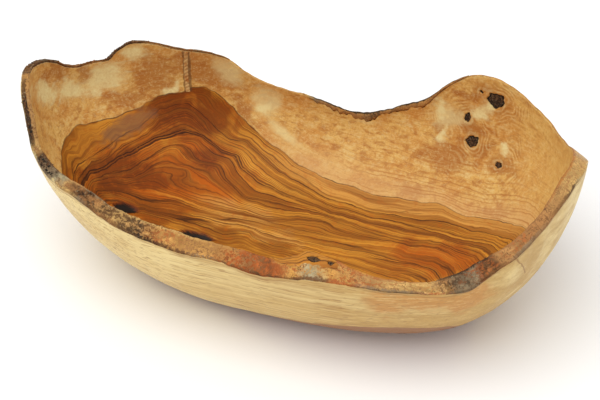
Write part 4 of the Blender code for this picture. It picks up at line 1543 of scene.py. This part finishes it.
class AddBowlBody(bpy.types.Operator):
    """Carve the wood of the bowl, with the figure of its hollow"""

    bl_idname = "bowl.body"
    bl_label = "Wood"

    def execute(self, context):
        colours = context.scene.bowl_colours
        shape = BowlShape(context.scene.bowl_sizes)
        view = PhotoView(context.scene.bowl_stage)
        seats = knot_seats(shape)
        bearings, rings = body_rings(shape)
        count = len(rings)
        ends = np.array(((shape.sizes.base_shift, 0.0, 0.0), (0.0, 0.0, shape.sizes.floor_thickness)))
        points = np.concatenate([*(ring[2] for ring in rings), ends - shape.middle])
        zones = np.append(np.repeat([ring[0] for ring in rings], BEARING_COUNT), ("under", "hollow"))
        slopes = np.append(np.repeat([ring[1] for ring in rings], BEARING_COUNT), (0.0, 0.0))
        turns = np.append(np.tile(bearings, count), (0.0, 0.0))
        faces = ring_faces(count, BEARING_COUNT) + closing_fans(count, BEARING_COUNT)
        piece = new_piece("bowl_wood", points, faces, olive_wood(colours))
        normals = np.empty(3 * len(points))
        piece.data.vertex_normals.foreach_get("vector", normals)
        normals = normals.reshape(-1, 3)
        # Where every point lies, and what the photograph's camera sees of it
        on_rim = zones == "rim"
        on_outside = zones == "outside"
        in_hollow = zones == "hollow"
        facing = np.sum(normals * unit_vector(view.place - points), axis=1) > 0.0
        exact = view.pixels(points)
        pixels = exact
        for scale, reach in PATCH_UNREST:
            pixels = pixels + unrest_at(points, scale, reach)
        # Growth rings
        surface = growth_surface(shape, view)
        growth = np.full(len(points), PLAIN_RING)
        growth[in_hollow] = surface(unroll(turns[in_hollow], slopes[in_hollow]))
        growth[on_rim] = surface(unroll(turns[on_rim], 90.0)) - 2.4 * slopes[on_rim]
        pitch = ring_pitch(growth[:-2], points[:-2], count)
        keep_on_points(piece, growth=growth, pitch=np.append(pitch, (0.1, pitch[-1])))
        # Live edge
        over = np.where(on_rim, slopes, 0.5)
        burl = np.where(on_rim, burl_cover(turns, over), 0.0)
        rough = edge_relief(turns[on_rim], over[on_rim] * around(RIM_WIDTH, turns[on_rim]))
        crust = np.full(len(points), EVEN_CRUST)
        crust[on_rim] = calm(turns[on_rim], rough)
        keep_on_points(piece, hollow=np.where(burl > 0.0, 1.0, in_hollow), rim=on_rim - burl, burl=burl,
                       across=tone_share(turns, over), crust=crust)
        rim_tones(piece, turns, points, colours)
        # Stains, bands and cracks
        for name, patches in HOLLOW_PATCHES.items():
            keep_on_points(piece, **{name: patch_cover(pixels, patches) * in_hollow * facing})
        black = patch_cover(exact, BLACK_POCKETS, True) * in_hollow * facing
        # Painted shade along the foot of the outside, darker towards the bottom
        low = between(FOOT_SHADE_BAND, turns) - points[:, 2] / MM
        outer_top = np.append(np.tile(shape.rim(bearings, 1.0)[:, 2], count), (0.0, 0.0))
        crack_side, crack_span = crack_margin(shape, points)
        split_side, split_span = split_margin(shape, points)
        keep_on_points(
            piece, black=black, tan=patch_cover(pixels, TAN_PATCHES) * on_outside * facing,
            foot=np.clip(0.5 + low / 4.0, 0.0, 1.0) * on_outside,
            below=np.where(on_outside, (outer_top - points[:, 2]) / MM, 90.0),
            spread=knot_spread(points, seats[:len(WALL_KNOTS)]),
            crack_side=crack_side, crack_span=crack_span * in_hollow,
            split_side=split_side, split_span=split_span * on_outside,
        )
        # Dark pockets and seats of the knots
        sink = POCKET_SINK * smooth_step((black - 0.40) / 0.35)
        piece.data.vertices.foreach_set("co", (points - normals * sink[:, None]).ravel())
        split_near(piece, seats)
        press_pockets(piece, seats)
        hand_over(piece, "olive_wood", "bowl_body")
        return {"FINISHED"}


def bark_strip(shape, patch):
    """Points of one patch of bark, and the bearing, share across and height share of each."""
    first = patch.first
    last = patch.last
    count = max(10, round((last - first) / BARK_STEP_DEGREES))
    plain = np.linspace(first, last, count + 1)
    loose = np.full((2, count + 1), 90.0)
    if not any(abs(other.last - first) < 0.1 for other in BARK_PATCHES):
        loose[0] = plain - first
    if not any(abs(other.first - last) < 0.1 for other in BARK_PATCHES):
        loose[1] = last - plain
    ending = smooth_step(loose.min(0) / 2.5)
    side = np.where(loose[1] < loose[0], 1.0, -1.0)
    lipped = 40.0 < first < 189.0
    arcs = np.radians(plain) * BARK_SPREAD
    depth = shape.bark_depth(plain)
    width = around(RIM_WIDTH, plain)
    relief = relief_depth(plain) * MM
    rows = []
    facts = []

    def waver(reach, level):
        return np.array([noise.noise(Vector((arc / reach, level, 3.0))) for arc in arcs])

    def place_at(share):
        """Bearings across the strip, with a loose end left ragged, and the outward direction."""
        wander = np.array([noise.fractal(Vector((4.0 * share, turn, first)), 0.9, 2.0, 3) for turn in side])
        turns = plain + side * (1.5 + 0.8 * wander) * (1.0 - ending)
        angle = np.radians(turns)
        return turns, np.stack([np.cos(angle), np.sin(angle), np.zeros(count + 1)], -1)

    def add(points, turns, share, rough):
        rows.append(points)
        facts.append(np.stack(np.broadcast_arrays(turns, share, rough), -1))

    turns, outward = place_at(0.0)
    bare = between(BARE_MARGIN, plain)
    inner = shape.rim(turns, bare)
    fall = shape.inside(turns, np.full(count + 1, 87.0)) - shape.inside(turns, np.full(count + 1, 90.0))
    fall = unit_vector(fall)
    fall[bare > 0.0] = (0.0, 0.0, -1.0)
    scallop = np.maximum(0.0, 0.55 + 0.9 * waver(7.0, 2.6) + 0.35 * waver(2.4, 4.1))
    drop = depth + around(BARK_SKIRT, plain) * MM * scallop * ending * (bare == 0.0)
    for part, lip_share in ((1.0, 0.0), (0.7, 0.45), (0.35, 0.60)):
        rough = edge_relief(plain, -part * drop / MM)
        proud = 0.12 + (0.2 + 0.6 * rough * ending) * (part < 1.0)
        points = inner + fall * (drop * part)[:, None] - outward * (proud * MM)[:, None]
        add(points, turns, lip_share if lipped else 0.18 - 0.16 * part, rough)
    for share in TOP_SHARES:
        turns, _ = place_at(share)
        inner = shape.rim(turns, bare)
        rough = edge_relief(plain, share * width)
        edge = 1.0 - (2.0 * share - 1.0) ** 6
        points = inner + (shape.rim(turns, 1.0) - inner) * share
        points[:, 2] += (rough - 0.5) * relief * (0.4 + 0.6 * edge) * (0.25 + 0.75 * ending)
        points[:, 2] += (0.6 * ending - 0.1) * MM * edge
        lip = 0.5 + 0.5 * max(0.0, 1.0 - 10.0 * share)
        add(points, turns, max(lip, share) if lipped else share, rough)
    turns, outward = place_at(1.0)
    outer = shape.rim(turns, 1.0)
    fall = unit_vector(shape.outside(turns, np.full(count + 1, 84.0)) - outer)
    fray = depth * (0.9 + 0.25 * waver(2.0, 9.3))
    for part in (0.45, 0.95):
        rough = edge_relief(plain, width + 3.0 * part)
        proud = (0.35 * rough * ending + 0.1) * MM
        add(outer + fall * (fray * part)[:, None] + outward * proud[:, None], turns, 1.0, rough)
    for share in (0.9, 0.5, 0.1):
        turns, _ = place_at(share)
        add(shape.rim(turns, bare + (1.0 - bare) * share, depth), turns, share, 0.1)
    return np.stack(rows, 1), np.stack(facts, 1)


class AddBowlBark(bpy.types.Operator):
    """Lay every patch of bark and inner bark on the rim"""

    bl_idname = "bowl.bark"
    bl_label = "Bark"

    def execute(self, context):
        shape = BowlShape(context.scene.bowl_sizes)
        colours = context.scene.bowl_colours
        for patch in BARK_PATCHES:
            rings, facts = bark_strip(shape, patch)
            points = rings.reshape(-1, 3)
            turns, across, crust = facts.reshape(-1, 3).T
            piece = new_strip(patch.piece, points, len(rings), bark_material(patch.slot, colours))
            keep_on_points(piece, crust=calm(turns, crust), across=tone_share(turns, across))
            rim_tones(piece, turns, points, colours)
            hand_over(piece, patch.slot, patch.node)
        return {"FINISHED"}


def flake_tree(material):
    """Loose flakes scattered over the top of rough bark."""
    tree, bench, given, result = new_group(
        "bark flakes",
        (("Bark", "Geometry"), ("Flakes per square metre", "Float"), ("Flake size", "Float"),
         ("Seed", "Int")),
        (("Flakes", "Geometry"),),
        "GeometryNodeTree",
    )

    def step(kind, **values):
        return bench.wire(bench.place(kind), **values)

    def draw(low, high, seed):
        node = bench.place("FunctionNodeRandomValue", data_type="FLOAT_VECTOR")
        return bench.wire(node, Min=low, Max=high, Seed=seed)[0]

    seed = given["Seed"]
    scatter = step("GeometryNodeDistributePointsOnFaces", Mesh=given["Bark"],
                   Density=given["Flakes per square metre"], Seed=seed)
    crumb = step("GeometryNodeMeshIcoSphere", Subdivisions=1, Radius=given["Flake size"])
    shake = draw((-FLAKE_SHAKE,) * 3, (FLAKE_SHAKE,) * 3, 3)
    uneven = step("GeometryNodeSetPosition", Geometry=crumb["Mesh"], Offset=shake)
    sizes = draw((0.35, 0.25, 0.12), (1.25, 0.7, 0.32), seed)
    stand = step("GeometryNodeInstanceOnPoints", Points=scatter["Points"], Instance=uneven["Geometry"],
                 Rotation=scatter["Rotation"], Scale=sizes)
    turn = draw((-0.4, -0.4, -3.1), (0.4, 0.4, 3.1), 11)
    spin = step("GeometryNodeRotateInstances", Instances=stand["Instances"], Rotation=turn)
    real = step("GeometryNodeRealizeInstances", Geometry=spin["Instances"])
    finish = step("GeometryNodeSetMaterial", Geometry=real["Geometry"], Material=material)
    bench.wire(result, Flakes=finish["Geometry"])
    return tree


class AddBarkFlakes(bpy.types.Operator):
    """Scatter loose flakes over the rough bark"""

    bl_idname = "bowl.flakes"
    bl_label = "Bark flakes"

    def execute(self, context):
        sizes = context.scene.bowl_sizes
        colours = context.scene.bowl_colours
        work = bmesh.new()
        for name in FLAKY_PIECES:
            work.from_mesh(bpy.data.objects[name].data)
        work.normal_update()
        low = [face for face in work.faces
               if face.normal.z < FLAKE_GROUND_RISE or face.calc_area() < FLAKE_GROUND_AREA]
        bmesh.ops.delete(work, geom=low, context="FACES")
        mesh = bpy.data.meshes.new("flake_ground")
        work.to_mesh(mesh)
        work.free()
        ground = add_object("flake_ground", mesh)
        tree = flake_tree(bark_material("brown_bark", colours))
        modifier = ground.modifiers.new("flakes", "NODES")
        modifier.node_group = tree
        names = {item.name: item.identifier for item in tree.interface.items_tree if item.in_out == "INPUT"}
        modifier[names["Flakes per square metre"]] = sizes.flakes * SQUARE_CENTIMETRES
        modifier[names["Flake size"]] = sizes.flake_size
        modifier[names["Seed"]] = sizes.seed
        context.view_layer.update()
        depsgraph = context.evaluated_depsgraph_get()
        result = bpy.data.meshes.new_from_object(ground.evaluated_get(depsgraph))
        ground.modifiers.remove(modifier)
        bpy.data.objects.remove(ground)
        if not result.vertices:
            raise RuntimeError("no flakes were made")
        result.name = "bark_flakes"
        piece = add_object("bark_flakes", result)
        heights = [0.5 + 0.5 * noise.noise(vertex.co * 300.0) for vertex in result.vertices]
        keep_on_points(piece, crust=heights, across=np.full(len(heights), 0.5))
        points = np.array([vertex.co for vertex in result.vertices])
        turns = np.degrees(np.arctan2(points[:, 1], points[:, 0])) % 360.0
        rim_tones(piece, turns, points, colours)
        hand_over(piece, "brown_bark")
        return {"FINISHED"}


def knot_ring(seat, number, share, height):
    """One ring of a dead knot, at a set height, or crumbled where that is None."""
    ring = []
    for side in range(KNOT_SIDES):
        angle = 2.0 * math.pi * side / KNOT_SIDES
        wobble = float(knot_outline(angle, seat.piece, seat.turn))
        along = seat.half_long * wobble * share * math.cos(angle)
        across = seat.half_short * wobble * share * math.sin(angle)
        sideways = along * math.cos(seat.turn) - across * math.sin(seat.turn)
        rising = along * math.sin(seat.turn) + across * math.cos(seat.turn)
        rise = height
        if height is None:
            spot = Vector((sideways / MM, rising / MM, 5.0 * number))
            rise = -0.7 * MM + 0.55 * MM * noise.fractal(spot * 0.7, 0.8, 2.2, 4)
        ring.append(seat.place + seat.level * sideways + seat.upward * rising + seat.normal * rise)
    return ring


class AddDeadKnots(bpy.types.Operator):
    """Set a crumbled plug in every knot hole"""

    bl_idname = "bowl.knots"
    bl_label = "Dead knots"

    def execute(self, context):
        shape = BowlShape(context.scene.bowl_sizes)
        material = knot_material(context.scene.bowl_colours)
        for number, seat in enumerate(knot_seats(shape)):
            rows = [(0.55, -0.48 * seat.depth), (0.93, -0.46 * seat.depth), (0.97, -0.16 * seat.depth)]
            rows += [(0.96 * (1.0 - row / KNOT_RINGS), None) for row in range(KNOT_RINGS)]
            rings = [knot_ring(seat, number, share, height) for share, height in rows]
            middles = [np.mean(rings[0], axis=0), np.mean(rings[-1], axis=0)]
            points = [*(point for ring in rings for point in ring), *middles]
            faces = ring_faces(len(rings), KNOT_SIDES) + closing_fans(len(rings), KNOT_SIDES)
            piece = new_piece(seat.piece, points, faces, material)
            shares = np.repeat([share for share, _ in rows], KNOT_SIDES)
            if seat.piece.endswith("rim_knot"):
                cores = np.maximum(0.8 - 1.6 * shares, 3.0 * shares - 2.3)
            else:
                cores = np.maximum(0.38, 3.0 * shares - 1.9)
            keep_on_points(piece, core=np.append(cores, (0.0, 0.8)))
            hand_over(piece, "dead_knot", seat.node)
        return {"FINISHED"}


class AddCrackFiller(bpy.types.Operator):
    """Fill the drying crack with its ribbed filler"""

    bl_idname = "bowl.filler"
    bl_label = "Crack filler"

    def execute(self, context):
        sizes = context.scene.bowl_sizes
        shape = BowlShape(sizes)
        rings = []
        ribs = []
        for step in range(FILLER_STEPS + 1):
            share = step / FILLER_STEPS
            spot = [top + (foot - top) * share for top, foot in zip(FILLER_TOP, FILLER_FOOT)]
            seat, normal, level, _ = shape.inside_frame(*spot)
            half = 0.5 * sizes.filler_width * (1.0 + 0.10 * noise.noise(Vector((7.0 * share, 2.0, 0.0))))
            ring = []
            heights = []
            for across in FILLER_SHARES:
                twist = math.sin(2.0 * math.pi * (11.0 * share + 0.35 * across))
                crown = 1.0 - abs(across) ** 3
                rise = (-0.25 + 0.75 * crown + 0.16 * twist * crown) * MM
                ring.append(seat + level * half * across + normal * rise)
                heights.append(crown * (0.75 + 0.25 * twist))
            for across in (0.9, 0.0, -0.9):
                ring.append(seat + level * half * across - normal * 0.9 * MM)
                heights.append(0.0)
            rings.append(ring)
            ribs.append(heights)
        points = np.array(rings).reshape(-1, 3)
        piece = new_strip("crack_filler", points, len(rings), filler_material(context.scene.bowl_colours))
        keep_on_points(piece, rib=np.array(ribs).ravel())
        hand_over(piece, "filler", "check_filler")
        return {"FINISHED"}


class BowlPanel(bpy.types.Panel):
    """Sizes, colours and steps of the bowl"""

    bl_idname = "VIEW3D_PT_olive_bowl"
    bl_label = "Olive Bowl"
    bl_space_type = "VIEW_3D"
    bl_region_type = "UI"
    bl_category = "Olive Bowl"

    def draw(self, context):
        for group in (context.scene.bowl_sizes, context.scene.bowl_colours, context.scene.bowl_stage):
            box = self.layout.box()
            for name in group.__annotations__:
                box.prop(group, name)
        for step in OPERATORS:
            self.layout.operator(step.bl_idname)


OPERATORS = (SetBowlStage, AddBowlBody, AddBowlBark, AddBarkFlakes, AddDeadKnots, AddCrackFiller)
CLASSES = (BowlSizes, BowlColours, BowlStage, *OPERATORS, BowlPanel)


def register():
    for item in CLASSES:
        bpy.utils.register_class(item)
    bpy.types.Scene.bowl_sizes = bpy.props.PointerProperty(type=BowlSizes)
    bpy.types.Scene.bowl_colours = bpy.props.PointerProperty(type=BowlColours)
    bpy.types.Scene.bowl_stage = bpy.props.PointerProperty(type=BowlStage)


def unregister():
    del bpy.types.Scene.bowl_stage
    del bpy.types.Scene.bowl_colours
    del bpy.types.Scene.bowl_sizes
    for item in reversed(CLASSES):
        bpy.utils.unregister_class(item)


def main():
    register()
    bpy.ops.bowl.stage()
    bpy.ops.bowl.body()
    bpy.ops.bowl.bark()
    bpy.ops.bowl.flakes()
    bpy.ops.bowl.knots()
    bpy.ops.bowl.filler()


if __name__ == "__main__":
    main()
